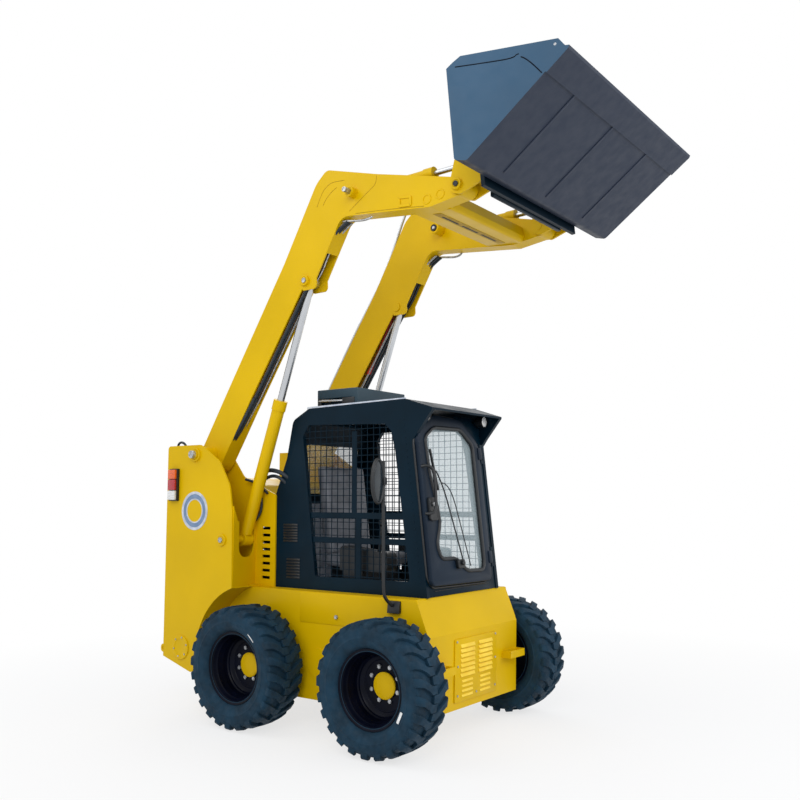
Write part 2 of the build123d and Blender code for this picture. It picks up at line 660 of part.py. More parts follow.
def roof_hatch():
    """Lid propped open at the back on two struts, hinged at the front."""
    roof_z = ROOF_REAR_Z + SEAT_GAP
    lid = slab_y([
        (-353, 2164), (-380, 2218, 12), (-23, 2218, 40), (375, 2140), (380, 2113), (340, 2113)],
        -HATCH_HALF_WIDTH, HATCH_HALF_WIDTH)
    lid -= slab_y([(-341, 2150), (-364, 2206), (-25, 2206), (330, 2137), (330, 2090)],
                  -HATCH_HALF_WIDTH + 12, HATCH_HALF_WIDTH - 12)
    hinge = block(300, 372, -HATCH_HALF_WIDTH + 20, -HATCH_HALF_WIDTH + 90, 2084 + SEAT_GAP, 2120)
    strut = bar((-250, -HATCH_HALF_WIDTH + 6, roof_z + 12), (-60, -HATCH_HALF_WIDTH + 6, 2180), 7)
    strut += Pos(-250, -HATCH_HALF_WIDTH + 6, roof_z + 13) * Box(36, 12, 24)
    for part in (hinge, strut):
        lid += both_sides(part)
    return lid


def seat():
    cushion = slab_y([(-330, 1010), (60, 1000, 40), (70, 1110, 40), (-330, 1090)], -235, 235)
    back = slab_y([(-330, 1060), (-240, 1060), (-330, 1720, 40), (-420, 1720, 40)], -225, 225)
    base = block(-300, 20, -180, 180, DECK_Z + SEAT_GAP, 1020)
    return cushion + back + base


def control_console():
    """Right console with its lever."""
    box = slab_y([(-60, 1000), (330, 1000, 30), (330, 1120, 30), (-60, 1160, 30)], -370, -270)
    leg = block(-40, 120, -360, -280, DECK_Z + SEAT_GAP, 1010)
    lever = bar((230, -320, 1130), (250, -320, 1300), 11)
    return box + leg + lever + Pos(252, -320, 1310) * Sphere(26)


def work_lamp():
    start = FRONT_PLANE.from_local_coords((-340, 1128, -4 + SEAT_GAP))
    end = FRONT_PLANE.from_local_coords((-340, 1128, 48))
    return bar(start, end, 34)


def tail_lamp():
    return block(TOWER_REAR_X - 40, TOWER_REAR_X - SEAT_GAP, -TOWER_OUTER_Y + 14, -TOWER_OUTER_Y + 120, 1459, 1671)


def side_mirror():
    """Oval mirror on a bent tube post outside the lift arm's path, on the frame's right side."""
    foot, out, top = (MIRROR_X, -FRAME_HALF_WIDTH - 6, 787), (MIRROR_X, MIRROR_POST_Y, 800), 1700
    post = bar((foot[0], foot[1], foot[2]), (out[0], out[1], out[2]), 10)
    post += Pos(*out) * Sphere(10)
    post += bar(out, (MIRROR_X, MIRROR_POST_Y, top), 10)
    post += block(MIRROR_X - 30, MIRROR_X + 30, -FRAME_HALF_WIDTH - 8, -FRAME_HALF_WIDTH - SEAT_GAP, 757, 817)
    face = Plane(origin=(MIRROR_X - 34, MIRROR_POST_Y - 50, 1570), x_dir=(0, 1, 0), z_dir=(1, 0, 0))
    head = extrude(face * Ellipse(MIRROR_HALF_WIDTH, MIRROR_HALF_HEIGHT), amount=26)
    return post + head


# Lift arms, drawn for the right side
LOWER_WAY = along((-1192, 1847), (-984, 2164))
FRONT_WAY = along((-708, 2159), (-238, 2867))


def arm_outline():
    heel_rear = (PIVOT_X - LOWER_WAY[1] * ARM_HEEL_RADIUS, PIVOT_Z + LOWER_WAY[0] * ARM_HEEL_RADIUS)
    heel_front = (PIVOT_X + FRONT_WAY[1] * ARM_HEEL_RADIUS, PIVOT_Z - FRONT_WAY[0] * ARM_HEEL_RADIUS)
    return [
        heel_rear, (-984, 2164), (-407, 3061), (-122, 3560, 190), (-30, 3640, 60), (401, 3515), (984, 3366),
        (HINGE_X + 20, HINGE_Z + 40), (HINGE_X + 10, HINGE_Z - 58), (803, 3219), (100, 3295, 90),
        (-116, 2919), (-112, 2850, 30), (-238, 2850, 10), (-238, 2867), (-708, 2159), heel_front,
    ]


def channel_outline():
    """Open channel along the arm's front edge, from above the tower to below the elbow."""
    ux, uz, length = FRONT_WAY
    start = (-708 - 40 * ux, 2159 - 40 * uz)
    run = 1180
    deep = (-uz * CHANNEL_DEPTH, ux * CHANNEL_DEPTH)
    out = (uz * 260, -ux * 260)
    end = (start[0] + ux * run, start[1] + uz * run)
    return [
        (start[0] + deep[0], start[1] + deep[1]), (end[0] + deep[0], end[1] + deep[1]),
        (end[0] + out[0], end[1] + out[1]), (start[0] + out[0], start[1] + out[1])]


def arm():
    low, high = -ARM_OUTER_Y, -ARM_OUTER_Y + ARM_WIDTH
    slot_low, slot_high = low + ARM_PLATE, high - ARM_PLATE
    shape = slab_y(arm_outline(), low, high)
    shape += pin_y(PIVOT_X, PIVOT_Z, ARM_HEEL_RADIUS, low, high)
    shape += pin_y(HINGE_X, HINGE_Z, ARM_TIP_RADIUS, low, high)
    shape += pin_y(PIVOT_X, PIVOT_Z, PIVOT_BOSS_RADIUS, -TOWER_OUTER_Y + TOWER_PLATE + SIDE_GAP, high + 4)
    shape -= slab_y(channel_outline(), slot_low, slot_high)
    pocket = [
        (120, 3372), (850, 3356), (1100, 3420), (1100, 3800), (120, 3800)]
    shape -= slab_y(pocket, slot_low, slot_high)
    shape += pin_y(TILT_BASE_X, TILT_BASE_Z, TILT_PIN_RADIUS, low - PIN_HEAD_HEIGHT * 3, high)
    shape += pin_y(TILT_BASE_X, TILT_BASE_Z, TILT_PIN_RADIUS + 16, low - 8, low + 1)
    shape += pin_y(LIFT_EYE_X, LIFT_EYE_Z, LIFT_PIN_RADIUS + 10, low - PIN_HEAD_HEIGHT, low + 1)
    shape += pin_y(LIFT_EYE_X, LIFT_EYE_Z, LIFT_PIN_RADIUS + 10, high - 1, high + 8)
    shape -= pin_y(PIVOT_X, PIVOT_Z, PIVOT_PIN_RADIUS + RUNNING_GAP, -TOWER_OUTER_Y, high + 10)
    return shape - pin_y(HINGE_X, HINGE_Z, HINGE_PIN_RADIUS + RUNNING_GAP, low - 1, high + 1)


def arm_cross_member():
    """Box beam that joins the two arms under their front sections."""
    wide = ARM_Y - ARM_WIDTH / 2 - SEAT_GAP
    return slab_y([(606, 3244), (880, 3222, 20), (896, 3262), (880, 3330), (840, 3300), (620, 3318)], -wide, wide)


# Cylinders
LIFT_WAY = along((LIFT_BASE_X, LIFT_BASE_Z), (LIFT_EYE_X, LIFT_EYE_Z))
TILT_WAY = along((TILT_BASE_X, TILT_BASE_Z), (TILT_EYE_X, TILT_EYE_Z))


def step_along(start, way, distance, y):
    return start[0] + way[0] * distance, y, start[1] + way[1] * distance


def barrel(start, way, radius, length, pin_radius, eye_radius, rod_radius, y):
    """Cylinder barrel with its base eye, bored for the rod."""
    centre = step_along(start, way, 0, y)
    body = bar(step_along(start, way, eye_radius - 6, y), step_along(start, way, length, y), radius)
    body += bar(
        step_along(start, way, length - 70, y), step_along(start, way, length, y), radius + 5)
    body += pin_y(start[0], start[1], eye_radius, y - EYE_WIDTH / 2, y + EYE_WIDTH / 2)
    body -= bar(
        step_along(start, way, eye_radius + 10, y), step_along(start, way, length + 1, y), rod_radius + RUNNING_GAP)
    return body - pin_y(centre[0], centre[2], pin_radius + RUNNING_GAP, y - EYE_WIDTH, y + EYE_WIDTH)


def cylinder_rod(start, way, inner, eye_radius, width, rod_radius, y):
    """Rod from its inner end out to its eye."""
    eye = step_along(start, way, way[2], y)
    rod = bar(step_along(start, way, inner, y), eye, rod_radius)
    return rod + pin_y(eye[0], eye[2], eye_radius, y - width / 2, y + width / 2)


def lift_barrel():
    return barrel((LIFT_BASE_X, LIFT_BASE_Z), LIFT_WAY, LIFT_BARREL_RADIUS, LIFT_BARREL_LENGTH, LIFT_PIN_RADIUS,
                  LIFT_EYE_RADIUS, LIFT_ROD_RADIUS, -ARM_Y)


def lift_rod():
    inner = LIFT_BARREL_LENGTH - 80
    return cylinder_rod((LIFT_BASE_X, LIFT_BASE_Z), LIFT_WAY, inner, LIFT_EYE_RADIUS - 8, EYE_WIDTH, LIFT_ROD_RADIUS, -ARM_Y)


def tilt_barrel():
    return barrel((TILT_BASE_X, TILT_BASE_Z), TILT_WAY, TILT_BARREL_RADIUS, TILT_BARREL_LENGTH, TILT_PIN_RADIUS,
                  TILT_EYE_RADIUS + 6, TILT_ROD_RADIUS, -ARM_Y)


def tilt_rod():
    inner = TILT_BARREL_LENGTH - 200
    return cylinder_rod((TILT_BASE_X, TILT_BASE_Z), TILT_WAY, inner, TILT_EYE_RADIUS, 60, TILT_ROD_RADIUS, -ARM_Y)


# Bucket and coupler
def bucket_outline():
    return [
        (LIP_X, LIP_Z), (HEEL_X, HEEL_Z, 30), (BUCKET_REAR_X, BUCKET_REAR_Z, 20), (BUCKET_TOP_X, BUCKET_TOP_Z),
        (1197, 3869), (1250, 3893), (1844, 3804), (1882, 3754)]


def bucket():
    """Open bucket: wrapper sheet of floor and back, two side plates, thicker lip band."""
    side = outline(bucket_outline())
    shape = raise_y(side, -BUCKET_HALF_WIDTH, BUCKET_HALF_WIDTH)
    inside = offset(side, amount=-BUCKET_PLATE) + make_face(Polyline(
        (1262, 3850), (1262, 4000), (1900, 3900), (1862, 3740), (1700, 3700), close=True))
    shape -= raise_y(inside, -BUCKET_HALF_WIDTH + BUCKET_PLATE, BUCKET_HALF_WIDTH - BUCKET_PLATE)
    ux, uz, length = along((HEEL_X, HEEL_Z), (LIP_X, LIP_Z))
    out = (uz * LIP_BAND_PROUD, -ux * LIP_BAND_PROUD)
    band_x, band_z = LIP_X - ux * LIP_BAND, LIP_Z - uz * LIP_BAND
    band = slab_y([
        (LIP_X, LIP_Z), (LIP_X + out[0] - ux * 14, LIP_Z + out[1] - uz * 14), (band_x + out[0], band_z + out[1]),
        (band_x, band_z)], -BUCKET_HALF_WIDTH, BUCKET_HALF_WIDTH)
    return shape + band


BACK_WAY = along((BUCKET_REAR_X, BUCKET_REAR_Z), (BUCKET_TOP_X, BUCKET_TOP_Z))


def back_point(up, behind):
    """Point up the bucket's back from its foot, and that far behind it."""
    ux, uz, length = BACK_WAY
    return BUCKET_REAR_X + ux * up - uz * behind, BUCKET_REAR_Z + uz * up + ux * behind


def ear(y_low, y_high):
    return slab_y([
        (HINGE_X + 20, HINGE_Z - 62, 30), (HINGE_X - 50, HINGE_Z - 40, 40), (HINGE_X - 48, HINGE_Z + 40, 30),
        (TILT_EYE_X - 44, TILT_EYE_Z + 8, 20), (TILT_EYE_X - 6, TILT_EYE_Z + 44, 30), back_point(150, COUPLER_PLATE),
        back_point(-10, COUPLER_PLATE)], y_low, y_high)


def quick_coupler():
    """Plate behind the bucket with the ears that take the arm pins and the rod eyes."""
    gap = SEAT_GAP
    plate = slab_y([
        back_point(-COUPLER_BELOW, gap), back_point(COUPLER_HEIGHT, gap), back_point(COUPLER_HEIGHT, COUPLER_PLATE),
        back_point(-COUPLER_BELOW, COUPLER_PLATE)], -COUPLER_HALF_WIDTH, COUPLER_HALF_WIDTH)
    outer = -ARM_OUTER_Y - SIDE_GAP
    inner = -ARM_OUTER_Y + ARM_WIDTH + SIDE_GAP
    ears = ear(outer - EAR_PLATE, outer) + ear(inner, inner + EAR_PLATE)
    ears += pin_y(HINGE_X, HINGE_Z, HINGE_PIN_RADIUS, outer - EAR_PLATE - 12, inner + EAR_PLATE + 4)
    ears += pin_y(HINGE_X, HINGE_Z, HINGE_PIN_RADIUS + 12, outer - EAR_PLATE - 6, outer - EAR_PLATE + 1)
    for side in (ears, other_side(ears)):
        plate += side
    return plate


def main():
    os.makedirs("parts", exist_ok=True)
    tyre_shape, rim_shape = tyre(), rim()
    housing = axle_housing()
    housings = []
    for place, x in AXLES.items():
        at_right = Pos(x, -TYRE_Y, TYRE_RADIUS)
        right_tyre, right_rim = at_right * tyre_shape, at_right * rim_shape
        save(right_tyre, f"tyre_{place}_right")
        save(right_rim, f"rim_{place}_right")
        save(other_side(right_tyre), f"tyre_{place}_left")
        save(other_side(right_rim), f"rim_{place}_left")
        right_housing = Pos(x, 0, TYRE_RADIUS) * housing
        housings += [right_housing, other_side(right_housing)]
    save(housings[0] + housings[1:], "axle_housings")

    save(lower_frame(), "lower_frame")
    save(front_cover(), "front_cover")
    save(rear_frame(), "rear_frame")
    save(engine_block(), "engine_block")
    save(engine_hood(), "engine_hood")
    save(rear_door(), "rear_door")
    save(both_sides(tail_lamp()), "tail_lamps")
    save(side_mirror(), "side_mirror")

    right_tower = tower()
    save(right_tower, "tower_right")
    save(other_side(right_tower) + rear_hinges(), "tower_left")
    for make, node in ((cab_side, "cab_side"), (arm, "arm"), (side_guard, "side_guard")):
        right = make()
        save(right, f"{node}_right")
        save(other_side(right), f"{node}_left")

    save(cab_roof(), "cab_roof")
    save(cab_rear(), "cab_rear")
    save(rear_window(), "rear_window")
    save(cab_front(), "cab_front")
    save(hinge_brackets(), "door_hinges")
    save(door_frame(), "door_frame")
    save(door_handle(), "door_handle")
    save(door_glass(), "door_glass")
    save(wiper(), "wiper")
    save(roof_hatch(), "roof_hatch")
    save(seat(), "seat")
    save(both_sides(control_console()), "control_consoles")
    save(both_sides(work_lamp()), "work_lamps")

    save(arm_cross_member(), "arm_cross_member")
    save(both_sides(lift_barrel()), "lift_barrels")
    save(both_sides(lift_rod()), "lift_rods")
    save(both_sides(tilt_barrel()), "tilt_barrels")
    save(both_sides(tilt_rod()), "tilt_rods")
    save(quick_coupler(), "quick_coupler")
    save(bucket(), "bucket")


main()
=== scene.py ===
# %% [markdown]
# A skid steer loader stands with its lift arms fully raised. Its solids come from the packed
# model. This lesson gives each solid its finish and adds the parts that a plain solid lacks:
# tyre lugs, bolts, hoses, seals, lamps and trim. Lengths are in metres, +X is forward,
# +Y is the machine's left and +Z is up.

# %% Load the frame
import math
import bpy
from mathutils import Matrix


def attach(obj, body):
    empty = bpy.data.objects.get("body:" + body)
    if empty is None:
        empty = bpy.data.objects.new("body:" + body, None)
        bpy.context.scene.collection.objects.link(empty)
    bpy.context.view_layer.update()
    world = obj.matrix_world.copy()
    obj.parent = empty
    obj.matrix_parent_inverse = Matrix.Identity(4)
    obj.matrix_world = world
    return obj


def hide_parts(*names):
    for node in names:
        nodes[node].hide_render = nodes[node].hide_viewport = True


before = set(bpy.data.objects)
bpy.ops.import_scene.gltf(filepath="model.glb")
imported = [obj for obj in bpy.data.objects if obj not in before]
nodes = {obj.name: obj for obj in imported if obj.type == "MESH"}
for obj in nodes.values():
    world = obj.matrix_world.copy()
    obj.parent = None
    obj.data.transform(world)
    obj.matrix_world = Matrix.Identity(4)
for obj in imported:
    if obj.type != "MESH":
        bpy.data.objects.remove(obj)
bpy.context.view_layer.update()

# %% [markdown]
# The camera stands at the machine's front right corner, at about a person's eye height, and
# looks slightly up. Its place and lens were worked out from the wheels, the cab and the arms,
# so every solid lands where the picture shows it.

# %% Camera
AZIMUTH, PITCH = 36.68, 6.03
bpy.ops.object.camera_add(
    location=(3.5655, -4.865, 1.455),
    rotation=(math.radians(90 + PITCH), math.radians(0.04), math.radians(AZIMUTH)))
camera = bpy.context.object
camera.data.lens, camera.data.sensor_width = 39.99, 36
camera.data.shift_x, camera.data.shift_y = 0.001, 0.0076
bpy.context.scene.camera = camera
print("camera at", tuple(round(v, 3) for v in camera.location))

# %% [markdown]
# The picture is lit evenly, as on an overcast day, and has no background. Large soft lamps give
# the same, a little stronger from the front. The world shows white to the camera and in
# reflections and lights the machine with a plain grey.

# %% Light and floor
LAMP_SIZE, AIM_HEIGHT = 4.0, 1.6
for place, aim_x, power in (((3.5, -6.5, 5.5), 0, 200), ((6.5, 1.5, 4.5), 0, 150),
                            ((-3.0, -4.5, 6.5), -0.5, 85), ((-5.5, 5.0, 5.0), 0, 85)):
    bpy.ops.object.light_add(type="AREA", location=place)
    lamp = bpy.context.object
    lamp.data.size, lamp.data.energy = LAMP_SIZE, power
    way = [a - p for a, p in zip((aim_x, 0, AIM_HEIGHT), place)]
    level = math.hypot(way[0], way[1])
    lamp.rotation_euler = (math.atan2(level, -way[2]), 0, math.atan2(way[1], way[0]) - math.pi / 2)


def calculate(tree, operation, first, second):
    node = tree.nodes.new("ShaderNodeMath")
    node.operation = operation
    tree.links.new(first, node.inputs[0])
    tree.links.new(second, node.inputs[1])
    return node.outputs[0]


def blend(tree, share, first, second, output):
    """Mixes two shaders by a share and sends them to an output."""
    mix = tree.nodes.new("ShaderNodeMixShader")
    for socket, source in zip(mix.inputs, (share, first, second)):
        tree.links.new(source.outputs[0] if hasattr(source, "outputs") else source, socket)
    tree.links.new(mix.outputs[0], output.inputs["Surface"])


def white_for_the_eye(tree):
    """White to the camera, to reflections and through glass, and grey as a light."""
    rays = tree.nodes.new("ShaderNodeLightPath").outputs
    seen = calculate(tree, "MAXIMUM", rays["Is Camera Ray"], rays["Is Glossy Ray"])
    return calculate(tree, "MAXIMUM", seen, rays["Is Transmission Ray"])


world = bpy.data.worlds.new("studio")
bpy.context.scene.world = world
world.use_nodes = True
tree = world.node_tree
tree.nodes.clear()
out = tree.nodes.new("ShaderNodeOutputWorld")
white, grey = tree.nodes.new("ShaderNodeBackground"), tree.nodes.new("ShaderNodeBackground")
white.inputs["Color"].default_value = (1, 1, 1, 1)
grey.inputs["Color"].default_value = (0.60, 0.62, 0.66, 1)
blend(tree, white_for_the_eye(tree), grey, white, out)

bpy.ops.mesh.primitive_plane_add(size=60, location=(0, 0, -0.001))
floor = bpy.context.object
floor.name = "floor"
floor_finish = bpy.data.materials.new("pale_floor")
floor_finish.use_nodes = True
tree = floor_finish.node_tree
matt = tree.nodes["Principled BSDF"]
matt.inputs["Base Color"].default_value = (0.86, 0.86, 0.86, 1)
matt.inputs["Roughness"].default_value = 0.95
matt.inputs["Specular IOR Level"].default_value = 0.1
glow = tree.nodes.new("ShaderNodeEmission")
distance = tree.nodes.new("ShaderNodeVectorMath")
distance.operation = "LENGTH"
tree.links.new(tree.nodes.new("ShaderNodeTexCoord").outputs["Object"], distance.inputs[0])
far = tree.nodes.new("ShaderNodeMapRange")
far.inputs["From Min"].default_value, far.inputs["From Max"].default_value = 1.5, 5.0
far.inputs["To Min"].default_value, far.inputs["To Max"].default_value = 0.72, 1.0
tree.links.new(distance.outputs["Value"], far.inputs["Value"])
share = calculate(tree, "MULTIPLY", white_for_the_eye(tree), far.outputs["Result"])
blend(tree, share, matt, glow, tree.nodes["Material Output"])
floor.data.materials.append(floor_finish)

# %% [markdown]
# New pieces are made as by hand: a primitive is added, shaped in edit mode and finished with
# modifiers. A few helpers keep that short. One starts a piece with nothing else selected,
# another selects faces, edges or corners by where they lie, and finish gives a piece its paint
# and makes it move with a body of the frame.

# %% Start a piece and select its parts
from mathutils import Matrix, Vector
AXLE_MIDDLE = -0.2075      # midway between the axles, where many lengths are measured from


def start(adder, name, **place):
    bpy.ops.object.select_all(action="DESELECT")
    adder(**place)
    piece = bpy.context.object
    piece.name = piece.data.name = name
    return piece


def block(name, low, high):
    """A box between two corners, as a start."""
    middle = [(a + b) / 2 for a, b in zip(low, high)]
    piece = start(bpy.ops.mesh.primitive_cube_add, name, size=1, location=middle)
    piece.scale = [b - a for a, b in zip(low, high)]
    bpy.ops.object.transform_apply(location=True, rotation=True, scale=True)
    return piece


def choose(piece, kind, test):
    """Edit mode with only the faces, edges or corners selected that pass the test."""
    if piece.mode == "EDIT":
        bpy.ops.object.mode_set(mode="OBJECT")
    mesh = piece.data
    for parts in (mesh.vertices, mesh.edges, mesh.polygons):
        parts.foreach_set("select", [False] * len(parts))
    if kind == "faces":
        for face in mesh.polygons:
            face.select = bool(test(face.center, face.normal))
    elif kind == "edges":
        for edge in mesh.edges:
            a, b = (mesh.vertices[i].co for i in edge.vertices)
            edge.select = bool(test((a + b) / 2, (b - a).normalized()))
    else:
        for corner in mesh.vertices:
            corner.select = bool(test(corner.co))
    bpy.context.tool_settings.mesh_select_mode = (
        kind == "corners", kind == "edges", kind == "faces")
    bpy.ops.object.mode_set(mode="EDIT")


def push(way):
    """Extrudes what is selected."""
    bpy.ops.mesh.extrude_region_move(TRANSFORM_OT_translate={"value": way})


def leave(piece):
    if piece.mode == "EDIT":
        bpy.ops.object.mode_set(mode="OBJECT")


def modify(piece, kind, **settings):
    """Adds a modifier and applies it."""
    leave(piece)
    bpy.context.view_layer.objects.active = piece
    change = piece.modifiers.new(kind.lower(), kind)
    for key, value in settings.items():
        setattr(change, key, value)
    bpy.ops.object.modifier_apply(modifier=change.name)


def soften(piece, width, segments=2, angle=35):
    modify(piece, "BEVEL", width=width, segments=segments, limit_method="ANGLE",
           angle_limit=math.radians(angle))


def join(pieces, name):
    """Makes one piece of several."""
    bpy.ops.object.select_all(action="DESELECT")
    for piece in pieces:
        piece.select_set(True)
    bpy.context.view_layer.objects.active = pieces[0]
    if len(pieces) > 1:
        bpy.ops.object.join()
    whole = bpy.context.object
    whole.name = whole.data.name = name
    return whole


def copy_to(piece, matrix, name=None):
    """A copy with its own mesh, moved and turned by a matrix."""
    twin = piece.copy()
    twin.data = piece.data.copy()
    bpy.context.scene.collection.objects.link(twin)
    twin.data.transform(matrix)
    if name:
        twin.name = twin.data.name = name
    return twin


def drop(*pieces):
    for piece in pieces:
        bpy.data.objects.remove(piece)


def finish(piece, body, paint, smooth=35, slot=None):
    """Closes a piece off: faces outwards, smooth where round, painted, and riding its body."""
    leave(piece)
    bpy.ops.object.select_all(action="DESELECT")
    piece.select_set(True)
    bpy.context.view_layer.objects.active = piece
    bpy.ops.object.transform_apply(location=True, rotation=True, scale=True)
    bpy.ops.object.mode_set(mode="EDIT")
    bpy.ops.mesh.select_all(action="SELECT")
    bpy.ops.mesh.remove_doubles(threshold=0.00001)
    bpy.ops.mesh.normals_make_consistent(inside=False)
    bpy.ops.object.mode_set(mode="OBJECT")
    bpy.ops.object.shade_smooth_by_angle(angle=math.radians(smooth))
    piece.data.materials.clear()
    piece.data.materials.append(paint)
    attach(piece, body)
    return piece


def mirrored(piece):
    """The same piece for the machine's other side."""
    return copy_to(piece, Matrix.Scale(-1, 4, (0, 1, 0)), piece.name + "_left")


def both(piece, body, paint, smooth=35, slot=None):
    """Finishes a piece of the right side and its twin on the left."""
    finish(piece, body, paint, smooth, slot)
    finish(mirrored(piece), body, paint, smooth, slot)


def cut(piece, *cutters):
    """Takes other pieces away from a piece."""
    for cutter in cutters:
        modify(piece, "BOOLEAN", operation="DIFFERENCE", object=cutter, solver="EXACT")
        drop(cutter)
    return piece


def drum(name, sides, radius, depth, place, turn):
    piece = start(bpy.ops.mesh.primitive_cylinder_add, name, vertices=sides, radius=radius,
                  depth=depth, location=place, rotation=turn)
    bpy.ops.object.transform_apply(location=True, rotation=True)
    return piece


def shifted(points):
    """Points whose x was measured from midway between the axles, in the frame's own x."""
    return [(x + AXLE_MIDDLE, y, z) for x, y, z in points]


def box(name, low, high, width, segments, body, paint, twin=False):
    """A softened box between two corners measured from midway between the axles."""
    piece = block(name, *shifted((low, high)))
    soften(piece, width, segments)
    (both if twin else finish)(piece, body, paint)
    return piece


def rectangle(left, low, right, high):
    return [(left, low), (right, low), (right, high), (left, high)]


def plate(name, corners, place, thickness, round_by=0.0):
    """A flat plate. Corners are (u, v); place(u, v, h) says where a corner lies at height h."""
    piece = start(bpy.ops.mesh.primitive_circle_add, name, vertices=len(corners), fill_type="NGON")
    for corner, (u, v) in zip(piece.data.vertices, corners):
        corner.co = (u, v, 0)
    if round_by:
        choose(piece, "corners", lambda co: True)
        bpy.ops.mesh.bevel(offset=round_by, segments=4, affect="VERTICES")
    choose(piece, "faces", lambda middle, way: True)
    push((0, 0, thickness))
    bpy.ops.mesh.select_all(action="SELECT")
    bpy.ops.mesh.normals_make_consistent(inside=False)
    leave(piece)
    for corner in piece.data.vertices:
        corner.co = place(*corner.co)
    return piece


def facing_right(y):
    """Places a plate on a wall that faces the machine's right: u forward, v up, h outwards."""
    return lambda u, v, h: (u + AXLE_MIDDLE, y - h, v)


def hose(name, points, radius, body, paint, sides=6, closed=False, slot=None):
    """A hose or pipe that is held at both ends, as a smooth curve through a few points."""
    line = start(bpy.ops.curve.primitive_nurbs_path_add, name)
    spline = line.data.splines[0]
    spline.points.add(max(0, len(points) - len(spline.points)))
    line.data.splines.remove(spline)
    spline = line.data.splines.new("NURBS")
    spline.points.add(len(points) - 1)
    for point, place in zip(spline.points, points):
        point.co = (*place, 1)
    spline.order_u, spline.use_endpoint_u, spline.resolution_u = 3, not closed, 6
    spline.use_cyclic_u = closed
    line.data.dimensions = "3D"
    line.data.bevel_depth, line.data.bevel_resolution = radius, sides // 2
    line.data.use_fill_caps = True
    bpy.ops.object.convert(target="MESH")
    return finish(bpy.context.object, body, paint, 60, slot)


def pipe(name, points, radius, body, paint, sides=8, twin=True, slot=None):
    """A hose measured from midway between the axles, and its twin on the left."""
    made = hose(name, shifted(points), radius, body, paint, sides, slot=slot)
    if twin:
        finish(mirrored(made), body, paint, slot=slot)

# %% [markdown]
# Every finish starts from one plain colour and one roughness, set on the shader itself. Noise on
# Object coordinates then breaks both up: large soft clouds shift the colour a little, as sprayed
# paint and dust do, and fine grain lifts the surface. The coordinates are in metres, so a scale
# of 40 gives spots about 25 mm across on every piece alike.

# %% Finish helpers
def colour(red, green, blue):
    """A colour as a screen shows it, 0 to 255, made linear."""
    def line(value):
        value /= 255
        return value / 12.92 if value <= 0.04045 else ((value + 0.055) / 1.055) ** 2.4
    return (line(red), line(green), line(blue), 1)


def plain_finish(name, shade, rough, **more):
    made = bpy.data.materials.new(name)
    made.use_nodes = True
    shader = made.node_tree.nodes["Principled BSDF"]
    shader.inputs["Base Color"].default_value = shade
    shader.inputs["Roughness"].default_value = rough
    for key, value in more.items():
        shader.inputs[key.replace("_", " ")].default_value = value
    return made


def noise(made, scale, detail=3.0, stretch=None):
    tree = made.node_tree
    where = tree.nodes.new("ShaderNodeTexCoord")
    texture = tree.nodes.new("ShaderNodeTexNoise")
    texture.inputs["Scale"].default_value = scale
    texture.inputs["Detail"].default_value = detail
    source = where.outputs["Object"]
    if stretch:
        mapping = tree.nodes.new("ShaderNodeMapping")
        mapping.inputs["Scale"].default_value = stretch
        tree.links.new(source, mapping.inputs["Vector"])
        source = mapping.outputs["Vector"]
    tree.links.new(source, texture.inputs["Vector"])
    return texture.outputs["Fac"]


def cloud(made, dark, light, scale, detail=4.0, low=0.35, high=0.65, stretch=None):
    """Base colour that drifts between two shades."""
    tree = made.node_tree
    ramp = tree.nodes.new("ShaderNodeValToRGB")
    ramp.color_ramp.elements[0].position, ramp.color_ramp.elements[0].color = low, dark
    ramp.color_ramp.elements[1].position, ramp.color_ramp.elements[1].color = high, light
    tree.links.new(noise(made, scale, detail, stretch), ramp.inputs["Fac"])
    shader = tree.nodes["Principled BSDF"]
    tree.links.new(ramp.outputs["Color"], shader.inputs["Base Color"])
    return ramp


def patchy_gloss(made, low, high, scale, detail=5.0):
    """Roughness that varies between two values."""
    tree = made.node_tree
    spread = tree.nodes.new("ShaderNodeMapRange")
    spread.inputs["From Min"].default_value, spread.inputs["From Max"].default_value = 0.3, 0.7
    spread.inputs["To Min"].default_value, spread.inputs["To Max"].default_value = low, high
    tree.links.new(noise(made, scale, detail), spread.inputs["Value"])
    tree.links.new(spread.outputs["Result"], tree.nodes["Principled BSDF"].inputs["Roughness"])


def grain(made, scale, strength, distance, detail=2.0, stretch=None):
    """Fine relief."""
    tree = made.node_tree
    bump = tree.nodes.new("ShaderNodeBump")
    bump.inputs["Strength"].default_value = strength
    bump.inputs["Distance"].default_value = distance
    tree.links.new(noise(made, scale, detail, stretch), bump.inputs["Height"])
    tree.links.new(bump.outputs["Normal"], tree.nodes["Principled BSDF"].inputs["Normal"])


def shade(tone, factor):
    return tuple(c * factor for c in tone[:3]) + (1,)


def made_of(name, slot, tone, rough, drift=None, gloss=None, relief=None, **more):
    """A whole finish. The drift is its dark and light end, each a colour or a factor of the tone,
    and the clouds' scale. The gloss is low, high and scale. The relief is as in grain."""
    tone = colour(*tone)
    made = plain_finish(name, tone, rough, **more)
    if drift:
        ends = [colour(*v) if isinstance(v, tuple) else shade(tone, v) for v in drift[:2]]
        cloud(made, *ends, *drift[2:])
    if gloss:
        patchy_gloss(made, *gloss)
    if relief:
        grain(made, *relief)
    return made


# %% [markdown]
# The body and arms are sprayed in glossy machine yellow. Sprayed enamel has a faint orange-peel
# ripple about 3 mm across and drifts slightly in tone, a little darker where dust settles.

